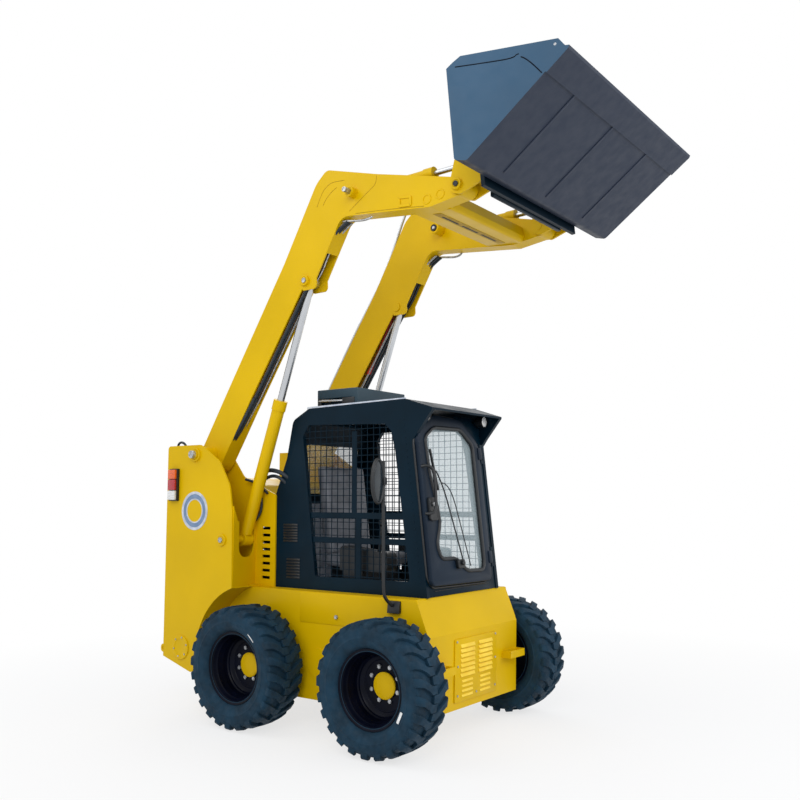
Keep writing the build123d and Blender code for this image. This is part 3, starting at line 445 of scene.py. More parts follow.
# %% Enamels
YELLOW, NAVY = (222, 181, 0), (3, 27, 40)
yellow_enamel = made_of("yellow_enamel", "yellow_paint", YELLOW, 0.44, (0.93, 1.04, 1.7),
                        (0.32, 0.44, 6), (330, 0.12, 0.0006), Specular_IOR_Level=0.14)
# A paler yellow for the nose's louvres, a painted highlight for their lit upper faces.
bright_yellow = made_of("bright_yellow", "yellow_paint", (250, 212, 60), 0.40,
                        ((244, 204, 50), (254, 220, 74), 12), None, (330, 0.12, 0.0006),
                        Specular_IOR_Level=0.3)
# A darker yellow: the arms' weld seams, and painted shade in the elbow's grooves and the cross
# member's groove.
seam_enamel = made_of("seam_enamel", "yellow_paint", (176, 140, 16), 0.5,
                      ((160, 126, 12), (188, 150, 20), 40), Specular_IOR_Level=0.14)
seam_navy = made_of("seam_navy", "slate_paint", (8, 16, 26), 0.6,
                    ((5, 12, 20), (12, 22, 34), 30), Specular_IOR_Level=0.1)
badge_blue = made_of("badge_blue", "cab_plastic", (120, 142, 172), 0.4,
                     ((112, 134, 164), (128, 150, 180), 20), Specular_IOR_Level=0.2)
navy_enamel = made_of("navy_enamel", "navy_paint", NAVY, 0.42, (0.75, 1.25, 2.2),
                      (0.30, 0.46, 8), (300, 0.15, 0.0006), Specular_IOR_Level=0.10)
door_enamel = made_of("door_enamel", "navy_paint", (17, 29, 42), 0.40,
                      ((15, 27, 40), (26, 40, 55), 2.2), None, (300, 0.15, 0.0006),
                      Specular_IOR_Level=0.14)
hatch_enamel = made_of("hatch_enamel", "navy_paint", (42, 64, 76), 0.42,
                       ((34, 55, 67), (50, 72, 84), 2.5), None, (300, 0.15, 0.0006),
                       Specular_IOR_Level=0.25)
bucket_enamel = made_of("bucket_enamel", "slate_paint", (54, 86, 112), 0.5, (0.88, 1.06, 1.6, 3.0),
                        (0.42, 0.62, 14), (260, 0.2, 0.0007), Specular_IOR_Level=0.25)
coupler_enamel = made_of("coupler_enamel", "yellow_paint", YELLOW, 0.44, (0.93, 1.04, 1.7), None,
                         (330, 0.12, 0.0006), Specular_IOR_Level=0.14)
rim_enamel = made_of("rim_enamel", "rim_paint", (3, 6, 20), 0.38, (0.7, 1.5, 9), None,
                     (240, 0.15, 0.0006), Specular_IOR_Level=0.1)


def two_tone(made, other, way, limit, both_sides=False):
    """A second colour up to a plane at a distance along a way, or between two such planes."""
    tree = made.node_tree
    shader = tree.nodes["Principled BSDF"]
    place = tree.nodes.new("ShaderNodeTexCoord").outputs["Object"]
    if both_sides:
        even = tree.nodes.new("ShaderNodeVectorMath")
        even.operation = "ABSOLUTE"
        tree.links.new(place, even.inputs[0])
        place = even.outputs[0]
    along = tree.nodes.new("ShaderNodeVectorMath")
    along.operation = "DOT_PRODUCT"
    along.inputs[1].default_value = way
    tree.links.new(place, along.inputs[0])
    test = tree.nodes.new("ShaderNodeMath")
    test.operation = "LESS_THAN"
    test.inputs[1].default_value = limit
    tree.links.new(along.outputs["Value"], test.inputs[0])
    mix = tree.nodes.new("ShaderNodeMix")
    mix.data_type = "RGBA"
    mix.inputs["B"].default_value = colour(*other)
    tree.links.new(test.outputs[0], mix.inputs["Factor"])
    tree.links.new(shader.inputs["Base Color"].links[0].from_socket, mix.inputs["A"])
    tree.links.new(mix.outputs["Result"], shader.inputs["Base Color"])


# The bucket's floor between its blue sides is a darker slate, painted shade for a floor that faces
# down and gets less light, and the coupler's plate is navy.
two_tone(bucket_enamel, (46, 54, 70), (0, 1, 0), 0.9113, both_sides=True)
BACK_FOOT = (1.205 + AXLE_MIDDLE, 3.309)
behind = -0.996 * BACK_FOOT[0] - 0.089 * BACK_FOOT[1]
two_tone(coupler_enamel, NAVY, (-0.996, 0, -0.089), behind + 0.029)

# %% [markdown]
# Tyres are matt rubber with a blue-grey bloom. Two sizes of noise are laid over each other: soft
# clouds of dust, and the fine pitted skin of moulded rubber.

# %% Rubbers and plastics
tyre_rubber = made_of("tyre_rubber", "tyre_rubber", (15, 46, 64), 0.72, (0.72, 1.28, 11, 6.0),
                      (0.6, 0.85, 30), (420, 0.35, 0.0008, 3.0), Specular_IOR_Level=0.25)
hose_rubber = made_of("hose_rubber", "cab_plastic", (22, 34, 44), 0.55, (0.8, 1.3, 60), None,
                      (700, 0.3, 0.0004))
black_plastic = made_of("black_plastic", "cab_plastic", (10, 16, 21), 0.45, (0.8, 1.4, 25), None,
                        (600, 0.3, 0.0004))
seat_vinyl = made_of("seat_vinyl", "seat_cover", (118, 121, 128), 0.5, (0.8, 1.3, 12), None,
                     (350, 0.5, 0.0012, 4.0))
pale_grey = made_of("pale_grey", "cab_plastic", (196, 203, 214), 0.42,
                    ((176, 184, 198), (212, 217, 224), 18))
label_white = made_of("label_white", "tyre_rubber", (236, 236, 234), 0.5,
                      ((222, 222, 220), (242, 242, 240), 40))
hose_beige = made_of("hose_beige", "cab_plastic", (176, 168, 132), 0.5,
                     ((150, 142, 110), (192, 184, 150), 40))
hose_red = made_of("hose_red", "cab_plastic", (178, 40, 22), 0.45,
                   ((150, 28, 16), (196, 54, 32), 40))

# %% [markdown]
# Bare metal is of three kinds: chromed rods, zinc-plated bolts and pins, and rough cast iron.

# %% Metals
rod_chrome = made_of("rod_chrome", "rod_chrome", (196, 199, 203), 0.2,
                     ((190, 193, 197), (202, 205, 209), 4), (0.24, 0.32, 9), Metallic=1.0)
zinc = made_of("zinc", "rod_chrome", (176, 178, 178), 0.38,
               ((142, 144, 146), (200, 202, 204), 90), (0.28, 0.5, 120), Metallic=0.9)
cast_iron = made_of("cast_iron", "rod_chrome", (54, 57, 60), 0.7,
                    ((40, 42, 46), (72, 74, 76), 14), None, (160, 0.5, 0.0015), Metallic=0.5)

# %% [markdown]
# Glass is thin sheet. The cab's glass is a pale cool grey at 42 percent cover: a slight tint, and a
# painted reflection of the bright surroundings. Lamps have coloured lenses with a fine pattern of
# ribs, here a stretched noise.

# %% Glass and lenses
# Pale grey at 42 percent cover: a slight tint and a painted reflection of the bright surroundings.
cab_glass = made_of("cab_glass", "cab_glass", (176, 192, 196), 0.04, None, None, (3, 0.03, 0.002),
                    Specular_IOR_Level=0.5, Alpha=0.42)
mirror_glass = made_of("mirror_glass", "cab_glass", (30, 38, 44), 0.12,
                       ((22, 30, 36), (44, 54, 60), 5), Specular_IOR_Level=0.6)


def lens(name, tone):
    made = plain_finish(name, colour(*tone), 0.18, Coat_Weight=0.6, Coat_Roughness=0.05)
    cloud(made, shade(colour(*tone), 0.8), shade(colour(*tone), 1.2), 60, stretch=(1, 1, 6))
    grain(made, 90, 0.4, 0.002, stretch=(1, 1, 8))
    return made


red_lens = lens("red_lens", (176, 18, 34))
amber_lens = lens("amber_lens", (226, 92, 20))
clear_lens = lens("clear_lens", (222, 222, 220))
print("finishes:", len(bpy.data.materials))

# %% [markdown]
# The solids that are right as they are only need their finish. The dictionary names each one.

# %% Paint the solids
painted = {
    yellow_enamel: ["arm_left", "arm_right", "arm_cross_member", "tower_left", "tower_right",
                    "lower_frame", "rear_frame", "engine_hood", "front_cover", "lift_barrels",
                    "tilt_barrels", "axle_housings"],
    coupler_enamel: ["quick_coupler"],
    navy_enamel: ["cab_front", "cab_rear", "cab_roof", "cab_side_left", "cab_side_right",
                  "door_frame", "door_handle", "door_hinges", "roof_hatch", "rear_door",
                  "side_guard_left", "side_guard_right"],
    bucket_enamel: ["bucket"],
    rim_enamel: ["rim_front_left", "rim_front_right", "rim_rear_left", "rim_rear_right"],
    tyre_rubber: ["tyre_front_left", "tyre_front_right", "tyre_rear_left", "tyre_rear_right"],
    rod_chrome: ["lift_rods", "tilt_rods"],
    cab_glass: ["door_glass", "rear_window"],
    black_plastic: ["control_consoles", "side_mirror", "wiper"],
    seat_vinyl: ["seat"],
    cast_iron: ["engine_block"],
    red_lens: ["tail_lamps"],
    clear_lens: ["work_lamps"],
}
for paint, names in painted.items():
    for name in names:
        nodes[name].data.materials.clear()
        nodes[name].data.materials.append(paint)
missing = set(nodes) - {name for names in painted.values() for name in names}
print("solids with no finish yet:", sorted(missing))

# %% [markdown]
# The tyres are bar-lug skid steer tyres: two rows of staggered lugs, each a thick block near the
# middle that turns into a slanting bar and runs down over the shoulder. The carcass is a ring
# spun from its half section. One lug is shaped flat from a box cut across into strips, then
# bent onto the carcass and copied round both rows.

# %% Tyre carcass
WHEEL_CENTRES = {"front": 0.555 + AXLE_MIDDLE, "rear": -0.555 + AXLE_MIDDLE}
HUB_Y, HUB_Z = 0.722, 0.388
SHOULDER = [(0.000, 0.3675), (0.060, 0.367), (0.110, 0.364), (0.134, 0.356), (0.1445, 0.343),
            (0.1478, 0.325), (0.1472, 0.305), (0.1460, 0.282), (0.140, 0.262), (0.131, 0.247),
            (0.120, 0.236), (0.108, 0.231), (0.106, 0.221), (0.106, 0.2105)]


def spun(name, section, turns=72):
    """A closed ring from a section of (y, radius) points, spun about the Y axis."""
    piece = start(bpy.ops.mesh.primitive_circle_add, name, vertices=len(section))
    for corner, (y, radius) in zip(piece.data.vertices, section):
        corner.co = (0, y, radius)
    choose(piece, "corners", lambda co: True)
    bpy.ops.mesh.spin(steps=turns, angle=math.radians(360), center=(0, 0, 0), axis=(0, 1, 0))
    bpy.ops.mesh.select_all(action="SELECT")
    bpy.ops.mesh.remove_doubles(threshold=0.00005)
    bpy.ops.mesh.normals_make_consistent(inside=False)
    leave(piece)
    return piece


ribs = [(0.1474, 0.296), (0.1486, 0.294), (0.1486, 0.290), (0.1472, 0.288)]
half = SHOULDER[:7] + ribs + SHOULDER[7:]
section = half + [(-y, r) for y, r in reversed(half[1:])]
carcass = spun("carcass", section)
print("carcass faces:", len(carcass.data.polygons))

# %% One lug
LUG_STATIONS = [  # across, height of its top, middle along the tread, half length, foot
    (-0.016, 0.3865, 0.020, 0.022, 0.362), (0.030, 0.3875, 0.020, 0.024, 0.362),
    (0.058, 0.3875, -0.002, 0.021, 0.362), (0.100, 0.385, -0.026, 0.022, 0.358),
    (0.132, 0.379, -0.036, 0.024, 0.350), (0.1470, 0.366, -0.040, 0.023, 0.342),
    (0.1482, 0.350, -0.042, 0.021, 0.338),
]


def bend_lug(corner):
    """Takes a corner of the flat strip to its place on the tyre."""
    across, top, middle, half_length, foot = LUG_STATIONS[round(corner.y)]
    top_side = corner.z > 0
    reach = half_length * (0.98 if top_side else 1.22)
    around = (middle + reach * (1 if corner.x > 0 else -1)) / 0.375
    radius = top if top_side else foot
    side = across if top_side else min(across, 0.1435)
    return radius * math.sin(around), side, radius * math.cos(around)


lug = start(bpy.ops.mesh.primitive_cube_add, "lug", size=1, location=(0, 0.5, 0))
bpy.ops.object.transform_apply(location=True)
choose(lug, "edges", lambda middle, way: abs(way.y) > 0.9)
bpy.ops.mesh.subdivide(number_cuts=len(LUG_STATIONS) - 2)
leave(lug)
for corner in lug.data.vertices:
    corner.co.y *= len(LUG_STATIONS) - 1
    corner.co = bend_lug(corner.co)
choose(lug, "faces", lambda middle, way: True)
bpy.ops.mesh.normals_make_consistent(inside=False)
soften(lug, 0.0025, 1, 30)
print("lug faces:", len(lug.data.polygons))

# %% Lugs round both rows and tyres on their wheels
LUGS = 24
pitch = math.radians(360 / LUGS)
rows = [carcass]
for i in range(LUGS):
    rows.append(copy_to(lug, Matrix.Rotation(pitch * i, 4, "Y")))
    other_row = Matrix.Rotation(pitch * (i + 0.5), 4, "Y") @ Matrix.Scale(-1, 4, (0, 1, 0))
    rows.append(copy_to(lug, other_row))
tread = join(rows, "tread")
for axle, x in WHEEL_CENTRES.items():
    for side, way in (("right", -1), ("left", 1)):
        tyre = copy_to(tread, Matrix.Translation((x, way * HUB_Y, HUB_Z)),
                       f"tyre_tread_{axle}_{side}")
        finish(tyre, f"wheel_{axle}_{side}", tyre_rubber, 32)
        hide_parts(f"tyre_{axle}_{side}")
drop(tread, lug)

# %% [markdown]
# The rims are pressed steel: a flange at each edge, a seat for the tyre's bead, a stepped well
# and a thick disc set far back. The section is drawn once and spun. Eight zinc-plated wheel nuts
# stand round a flat yellow cap over the hub.

# %% Rims, hub caps and wheel nuts
RIM_SECTION = [
    (0.112, 0.2285), (0.1118, 0.224), (0.109, 0.219), (0.104, 0.212), (0.092, 0.204),
    (0.074, 0.2005), (0.066, 0.194), (0.038, 0.192), (0.030, 0.187), (0.020, 0.1865),
    (-0.006, 0.184), (-0.014, 0.176), (-0.022, 0.175), (-0.030, 0.166), (-0.035, 0.150),
    (-0.040, 0.147), (-0.040, 0.040), (-0.052, 0.040), (-0.052, 0.196), (-0.090, 0.202),
    (-0.106, 0.214), (-0.110, 0.2285), (-0.106, 0.2285), (-0.1055, 0.2097), (0.1055, 0.2097),
    (0.1062, 0.2285),
]
rim = spun("rim", RIM_SECTION, 64)
soften(rim, 0.0015, 2, 30)

cap = drum("cap", 56, 0.0775, 0.030, (0, -0.045, 0), (-math.pi / 2, 0, 0))
choose(cap, "faces", lambda middle, way: way.y > 0.9)
bpy.ops.mesh.inset(thickness=0.006)
push((0, 0.002, 0))
leave(cap)
soften(cap, 0.002, 2, 30)


def hexagon_nut(name, radius, height, washer):
    """A nut on its washer, standing along +Z from the origin."""
    nut = start(bpy.ops.mesh.primitive_cylinder_add, name, vertices=6, radius=radius, depth=height,
                location=(0, 0, height / 2 + 0.001))
    choose(nut, "faces", lambda middle, way: way.z > 0.9)
    bpy.ops.mesh.inset(thickness=radius * 0.28)
    push((0, 0, height * 0.18))
    bpy.ops.mesh.inset(thickness=radius * 0.12)
    leave(nut)
    ring = start(bpy.ops.mesh.primitive_cylinder_add, name + "_washer", vertices=20, radius=washer,
                 depth=height * 0.22, location=(0, 0, height * 0.11))
    soften(ring, height * 0.04, 1)
    return join([nut, ring], name)


nut = hexagon_nut("wheel_nut", 0.0135, 0.020, 0.0165)
nuts = []
for i in range(8):
    turned = Matrix.Rotation(math.radians(45 * i + 22.5), 4, "Y")
    outwards = Matrix.Translation((0.1016, -0.0405, 0)) @ Matrix.Rotation(-math.pi / 2, 4, "X")
    nuts.append(copy_to(nut, turned @ outwards))
nut_ring = join(nuts, "nut_ring")
for axle, x in WHEEL_CENTRES.items():
    for side, way in (("right", -1), ("left", 1)):
        outwards = Matrix.Translation((x, way * HUB_Y, HUB_Z)) @ Matrix.Scale(way, 4, (0, 1, 0))
        wheel = f"wheel_{axle}_{side}"
        for part, paint in ((rim, rim_enamel), (cap, yellow_enamel), (nut_ring, zinc)):
            placed = copy_to(part, outwards, f"wheel_{part.name}_{axle}_{side}")
            finish(placed, wheel, paint, 30)
            if part == rim:
                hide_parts(f"rim_{axle}_{side}")
drop(rim, cap, nut_ring, nut)

# %% Blank size labels on the sidewalls
for axle, u, v in (("front", 0.241, -0.113), ("rear", 0.194, 0.211)):
    x = WHEEL_CENTRES[axle]
    turn = math.atan2(v, u)
    label = plate("label", rectangle(-0.034, -0.008, 0.034, 0.008), lambda a, b, h: (a, b, h),
                  0.0008, 0.003)
    lie = Matrix.Translation((x + u, -HUB_Y - 0.1458, HUB_Z + v)) \
        @ Matrix.Rotation(math.pi / 2 - turn, 4, "Y") @ Matrix.Rotation(math.pi / 2, 4, "X")
    placed = copy_to(label, lie, f"sidewall_label_{axle}_right")
    finish(placed, f"wheel_{axle}_right", label_white)
    drop(label)

# %% [markdown]
# The cab's front leans back a little. Places on it are given as across, up the lean and out from
# it. The door is a thick rounded shell round a shaped pane that sits in a black rubber seal. A
# second plate, cut away with a boolean, makes the window's opening.

# %% Door, pane and seal
LEAN, LEAN_SIN, LEAN_COS = 0.1105, 0.1103, 0.9939
ACROSS_THE_LEAN = (0, math.pi / 2 - LEAN, 0)


def on_door(across, up, out):
    return (0.672 + AXLE_MIDDLE - LEAN_SIN * up + LEAN_COS * out, across,
            0.866 + LEAN_COS * up + LEAN_SIN * out)


def door_plate(name, corners, low, high, round_by=0.0):
    return plate(name, corners, lambda u, v, h: on_door(u, v, low + h), high - low, round_by)


def door_line(name, line, radius, sides=6, body="cab_door"):
    hose(name, [on_door(*p) for p in line], radius, body, black_plastic, sides)


def round_loop(corners, radius):
    """Points for a closed hose that runs straight between corners and turns tightly at them."""
    corners = [Vector(c) for c in corners]
    line = []
    for i, corner in enumerate(corners):
        for turn, reaches in ((-1, (2, 1)), (1, (1, 2))):
            away = corners[(i + turn) % len(corners)] - corner
            for reach in reaches:
                far = min(reach * radius, away.length * 0.23 * reach)
                line.append(corner + away.normalized() * far)
    return [tuple(p) for p in line]


PANE = [(-0.342, 0.983), (-0.238, 1.048), (0.075, 1.053), (0.208, 0.952), (0.207, 0.170),
        (0.180, 0.132), (-0.005, 0.138), (-0.123, 0.222), (-0.286, 0.226), (-0.321, 0.311),
        (-0.266, 0.440), (-0.271, 0.506), (-0.328, 0.763)]
DOOR_EDGE = [(-0.406, 0.066), (-0.416, 1.000), (-0.231, 1.134), (0.107, 1.118), (0.296, 0.957),
             (0.296, 0.184), (0.284, 0.056)]
opening = door_plate("opening", rectangle(-0.350, 0.105, 0.266, 1.07), -0.06, 0.06, 0.05)
front = door_plate("front_frame", rectangle(-0.389, 0.002, 0.389, 1.15), -0.036, -0.004)
cut(front, opening)
soften(front, 0.004)
finish(front, "chassis", navy_enamel)
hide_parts("cab_front")

shell = door_plate("door_shell", DOOR_EDGE, 0.004, 0.038, 0.04)
cut(shell, door_plate("window", PANE, -0.01, 0.06, 0.018))
soften(shell, 0.009, 3, 30)
parts = [shell]
HINGE_LENGTH = 0.08
for low in (0.170, 0.860):
    knuckle = drum("knuckle", 24, 0.013, HINGE_LENGTH, on_door(0.318, low + 0.04, 0.021),
                   (0, -LEAN, 0))
    leaf = door_plate("leaf", rectangle(0.270, low, 0.314, low + HINGE_LENGTH), 0.028, 0.044,
                      0.008)
    for part in (knuckle, leaf):
        soften(part, 0.002)
        parts.append(part)
finish(join(parts, "door_shell"), "cab_door", door_enamel)
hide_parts("door_frame")

pane = door_plate("door_pane", PANE, 0.021, 0.027, 0.016)
finish(pane, "cab_door", cab_glass)
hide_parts("door_glass")
edge = [on_door(u, v, 0.037) for u, v in PANE]
hose("door_seal", round_loop(edge, 0.02), 0.0125, "cab_door", black_plastic, 8, True)
edge = [on_door(u * 1.012 - 0.0005, 0.59 + (v - 0.59) * 1.015, 0.005) for u, v in DOOR_EDGE]
hose("door_gasket", round_loop(edge, 0.05), 0.007, "cab_door", black_plastic, 6, True)
# A thin black line along the fold at the foot of the cab front, painted shade in the crease.
door_line("front_fold_line", [(-0.332, 0.036, -0.003), (0.301, 0.041, -0.003)], 0.0025,
          body="chassis")

# %% [markdown]
# Small things on the door: the latch with its keyhole, the grab loop that stands out past the
# door's edge, and the wiper with two thin arms that keep its blade upright.

# %% Latch, grab loop and wiper
latch = door_plate("latch", rectangle(-0.384, 0.462, -0.300, 0.602), 0.036, 0.058, 0.014)
choose(latch, "faces", lambda middle, way: way.x > 0.9)
bpy.ops.mesh.inset(thickness=0.010)
push((-0.003, 0, 0))
leave(latch)
soften(latch, 0.003)
finish(latch, "cab_door", black_plastic)
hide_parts("door_handle")
lock = drum("door_lock", 24, 0.013, 0.012, on_door(-0.342, 0.560, 0.060), ACROSS_THE_LEAN)
soften(lock, 0.002)
finish(lock, "cab_door", zinc)
door_line("grab_loop", [(-0.404, 0.795, 0.034), (-0.388, 0.802, 0.064), (-0.350, 0.782, 0.082),
                        (-0.342, 0.720, 0.084), (-0.347, 0.590, 0.084), (-0.356, 0.520, 0.080),
                        (-0.390, 0.500, 0.062), (-0.404, 0.506, 0.034)], 0.0095, 10)

motor = door_plate("wiper_motor", rectangle(-0.135, 0.158, -0.058, 0.214), 0.036, 0.064, 0.012)
soften(motor, 0.006, 3)
knob = drum("wiper_cap", 24, 0.015, 0.02, on_door(-0.094, 0.190, 0.070), ACROSS_THE_LEAN)
soften(knob, 0.004)
finish(join([motor, knob], "wiper_motor"), "cab_door", black_plastic)
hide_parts("wiper")
door_line("wiper_arm", [(-0.094, 0.192, 0.074), (-0.150, 0.430, 0.064), (-0.222, 0.694, 0.056),
                        (-0.272, 0.770, 0.050)], 0.0045)
door_line("wiper_second_arm", [(0.019, 0.166, 0.052), (-0.050, 0.400, 0.056),
                               (-0.136, 0.689, 0.056), (-0.222, 0.694, 0.054)], 0.0035)
blade = door_plate("wiper_blade", [(-0.312, 0.905), (-0.300, 0.908), (-0.250, 0.650),
                                   (-0.262, 0.647)], 0.036, 0.050, 0.002)
soften(blade, 0.002, 1)
finish(blade, "cab_door", black_plastic)

# %% [markdown]
# The roof carries a pale trim along both edges, a dark visor and two round work lamps under it.
# The hatch stands propped up flat on struts.

# %% Lamps, trim and hatch
housing = spun("lamp", [(0.000, 0.002), (0.000, 0.030), (0.006, 0.036), (0.052, 0.040),
                        (0.062, 0.040), (0.062, 0.034), (0.056, 0.033), (0.056, 0.002)], 40)
glass = spun("glass", [(0.055, 0.0015), (0.055, 0.033), (0.059, 0.033), (0.063, 0.022),
                       (0.064, 0.0015)], 40)
forward = Matrix.Rotation(-math.pi / 2, 4, "Z")
for name, piece, paint, slot in (("housing", housing, black_plastic, "cab_plastic"),
                                 ("lens", glass, clear_lens, "lamp_clear")):
    for side, y in (("right", -0.340), ("left", 0.340)):
        lie = Matrix.Translation((0.562 + AXLE_MIDDLE, y, 1.985)) @ forward
        placed = copy_to(piece, lie, f"work_lamp_{name}_{side}")
        finish(placed, "chassis", paint, 30, slot)
        if name == "lens" and side == "right":
            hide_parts("work_lamps")
drop(housing, glass)

trim = plate("roof_trim", [(-0.321, 2.067), (0.512, 2.078), (0.512, 2.093), (-0.316, 2.083)],
             facing_right(-0.414), 0.0055)
soften(trim, 0.0015)
both(trim, "chassis", pale_grey)

lid = plate("hatch_lid", [(-0.360, 2.150), (-0.360, 2.214), (0.000, 2.212), (0.000, 2.086),
                          (-0.016, 2.086), (-0.052, 2.150)], facing_right(0.270), 0.540, 0.006)
soften(lid, 0.008, 3)
finish(lid, "chassis", hatch_enamel)
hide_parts("roof_hatch")
box("hatch_curb", (-0.336, -0.256, 2.068), (-0.020, 0.256, 2.149), 0.005, 2, "chassis", navy_enamel)
for y, side in ((-0.262, "right"), (0.262, "left")):
    pipe(f"hatch_strut_{side}", [(-0.345, y, 2.138), (-0.130, y, 2.130)], 0.011, "chassis",
         rod_chrome, 10, twin=False)
    box(f"hatch_hinge_{side}", (-0.132, y - 0.012, 2.084), (-0.024, y + 0.012, 2.150), 0.004, 2,
        "chassis", black_plastic)
    box(f"hatch_foot_{side}", (-0.356, y - 0.010, 2.050), (-0.322, y + 0.010, 2.152), 0.003, 2,
        "chassis", black_plastic)

# %% [markdown]
# The side windows are open behind a wire guard. It reaches a little past the opening, so its
# ends are out of sight. Rows of short slats in the side panels let air out.

# %% Side windows and vents
WIRE = 0.0022       # half a wire's thickness
wires = []
for i in range(18):
    x = -0.350 + 0.050 * i
    wires.append(block("wire", *shifted(((x - WIRE, -0.4100, 0.945), (x + WIRE, -0.4060, 1.975)))))
for i in range(24):
    z = 0.968 + 0.043 * i
    wires.append(block("wire", *shifted(((-0.360, -0.4090, z - WIRE), (0.550, -0.4050, z + WIRE)))))
for corners in (((-0.360, -0.4106, 1.175), (0.550, -0.4040, 1.213)),
                ((-0.360, -0.4106, 1.334), (0.550, -0.4040, 1.374)),
                ((0.105, -0.4100, 0.945), (0.145, -0.4046, 1.354)),
                ((0.070, -0.4097, 1.350), (0.112, -0.4049, 1.900))):
    bar = block("bar", *shifted(corners))
    soften(bar, 0.0015, 1)
    wires.append(bar)
both(join(wires, "window_guard"), "chassis", navy_enamel)
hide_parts("side_guard_right")
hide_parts("side_guard_left")
lining = [block("lining", *shifted(((-0.560, -0.385, 0.880), (-0.556, 0.385, 1.430)))),
          block("lining", *shifted(((-0.556, -0.385, 0.868), (0.380, 0.385, 0.872))))]
finish(join(lining, "cab_lining"), "chassis", pale_grey)
SLATS = 7
vents = []
for low_x, high_x, low_z, high_z in ((-0.523, -0.392, 1.172, 1.298),
                                     (-0.490, -0.368, 0.929, 1.067)):
    for i in range(SLATS):
        z = low_z + (high_z - low_z) * (i + 0.5) / SLATS
        slat = block("slat", *shifted(((low_x, -0.4265, z - 0.006), (high_x, -0.4195, z + 0.006))))
        choose(slat, "corners", lambda co: co.y < -0.424 and co.z > z)
        bpy.ops.transform.translate(value=(0, 0.0055, 0))
        leave(slat)
        vents.append(slat)
vent = join(vents, "side_vents")
soften(vent, 0.001, 1)
both(vent, "chassis", black_plastic)
RIVETS = 26
rivets = []
for i in range(RIVETS):
    t = i / (RIVETS - 1)
    place = (0.497 + 0.125 * t + AXLE_MIDDLE, -0.420, 1.960 - 1.0 * t)
    rivet = start(bpy.ops.mesh.primitive_uv_sphere_add, "rivet", segments=10, ring_count=6,
                  radius=0.0035, location=place)
    bpy.ops.object.transform_apply(location=True)
    rivets.append(rivet)
both(join(rivets, "side_seam_rivets"), "chassis", navy_enamel, 60)

# %% [markdown]
# The mirror is an oval ring with dark glass on a tube post, bent in to a bracket on the frame.

# %% Mirror
MIRROR = (0.486 + AXLE_MIDDLE, -0.664, 1.567)
oval = start(bpy.ops.mesh.primitive_torus_add, "mirror_ring", major_segments=56,
             minor_segments=12, major_radius=1.0, minor_radius=0.12)
for corner in oval.data.vertices:
    x, y, z = corner.co
    r = math.hypot(x, y)
    reach = (r - 1.0) * 0.09
    corner.co = (MIRROR[0] + z * 0.10, MIRROR[1] + x / r * (0.054 + reach),
                 MIRROR[2] + y / r * (0.129 + reach))
finish(oval, "chassis", black_plastic, 60)
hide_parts("side_mirror")
face = start(bpy.ops.mesh.primitive_uv_sphere_add, "mirror_face", segments=40, ring_count=16,
             radius=1)
for corner in face.data.vertices:
    x, y, z = corner.co
    corner.co = (MIRROR[0] + z * 0.008, MIRROR[1] + x * 0.052, MIRROR[2] + y * 0.127)
finish(face, "chassis", mirror_glass, 60)
pipe("mirror_post", [(0.500, -0.545, 0.826), (0.492, -0.590, 0.860), (0.487, -0.612, 0.905),
                     (0.487, -0.612, 1.20), (0.487, -0.612, 1.690)],
     0.0105, "chassis", black_plastic, 10, twin=False)
box("mirror_clamp", (0.470, -0.628, 1.545), (0.506, -0.598, 1.590), 0.004, 2, "chassis",
    black_plastic)
foot = block("mirror_bracket", *shifted(((0.462, -0.548, 0.780), (0.552, -0.5185, 0.852))))
choose(foot, "corners", lambda co: co.z > 0.84 and co.y < -0.53)
bpy.ops.transform.translate(value=(0, 0.012, 0))
leave(foot)
soften(foot, 0.004)
finish(foot, "chassis", black_plastic)

# %% [markdown]
# Pins, bosses and studs all stand along Y. One helper makes them, with a dished end and a small
# chamfer, and puts the same on the other side.

# %% Pins and bosses
def stud(name, x, z, near, far, radius, body, paint, dish=0.0, sides=40):
    pin = drum(name, sides, radius, abs(far - near), (x + AXLE_MIDDLE, (near + far) / 2, z),
               (math.pi / 2, 0, 0))
    if dish:
        way_out = math.copysign(1, far - near)
        choose(pin, "faces", lambda middle, way: way.y * way_out > 0.9)
        bpy.ops.mesh.inset(thickness=radius * 0.3)
        push((0, -way_out * dish, 0))
        leave(pin)
    soften(pin, min(0.003, radius * 0.15), 2, 40)
    both(pin, body, paint)


def bolts(name, places, radius, height, lay, twin=False):
    """Hexagon bolts; lay is a matrix that turns a bolt standing along +Z to its wall."""
    one = hexagon_nut(name, radius, height, radius * 1.25)
    row = join([copy_to(one, Matrix.Translation(place) @ lay) for place in places], name)
    drop(one)
    (both if twin else finish)(row, "chassis", zinc, 30)


TO_RIGHT = Matrix.Rotation(math.pi / 2, 4, "X")
TO_FRONT = Matrix.Rotation(math.pi / 2, 4, "Y")
stud("tilt_base_boss", 0.202, 3.432, -0.560, -0.614, 0.033, "lift_arms", yellow_enamel, 0.004)
stud("tilt_base_pin", 0.202, 3.432, -0.600, -0.664, 0.0165, "lift_arms", zinc, 0.002)
stud("arm_boss_rear", 0.781, 3.272, -0.560, -0.570, 0.033, "lift_arms", yellow_enamel, 0.008)
stud("arm_boss_front", 0.878, 3.284, -0.560, -0.570, 0.033, "lift_arms", yellow_enamel, 0.008)
stud("hinge_pin_cap", 1.015, 3.308, -0.588, -0.606, 0.034, "bucket_carrier", yellow_enamel, 0.005)
stud("hinge_pin_end", 1.015, 3.308, -0.588, -0.611, 0.016, "bucket_carrier", cast_iron, 0.002)
stud("lift_eye_cap", -0.209, 2.914, -0.570, -0.584, 0.034, "lift_arms", yellow_enamel, 0.003)
stud("lift_eye_pin", -0.209, 2.914, -0.570, -0.590, 0.017, "lift_arms", zinc, 0.003)
stud("pivot_flange", -1.095, 1.772, -0.700, -0.729, 0.048, "chassis", yellow_enamel, 0.004)
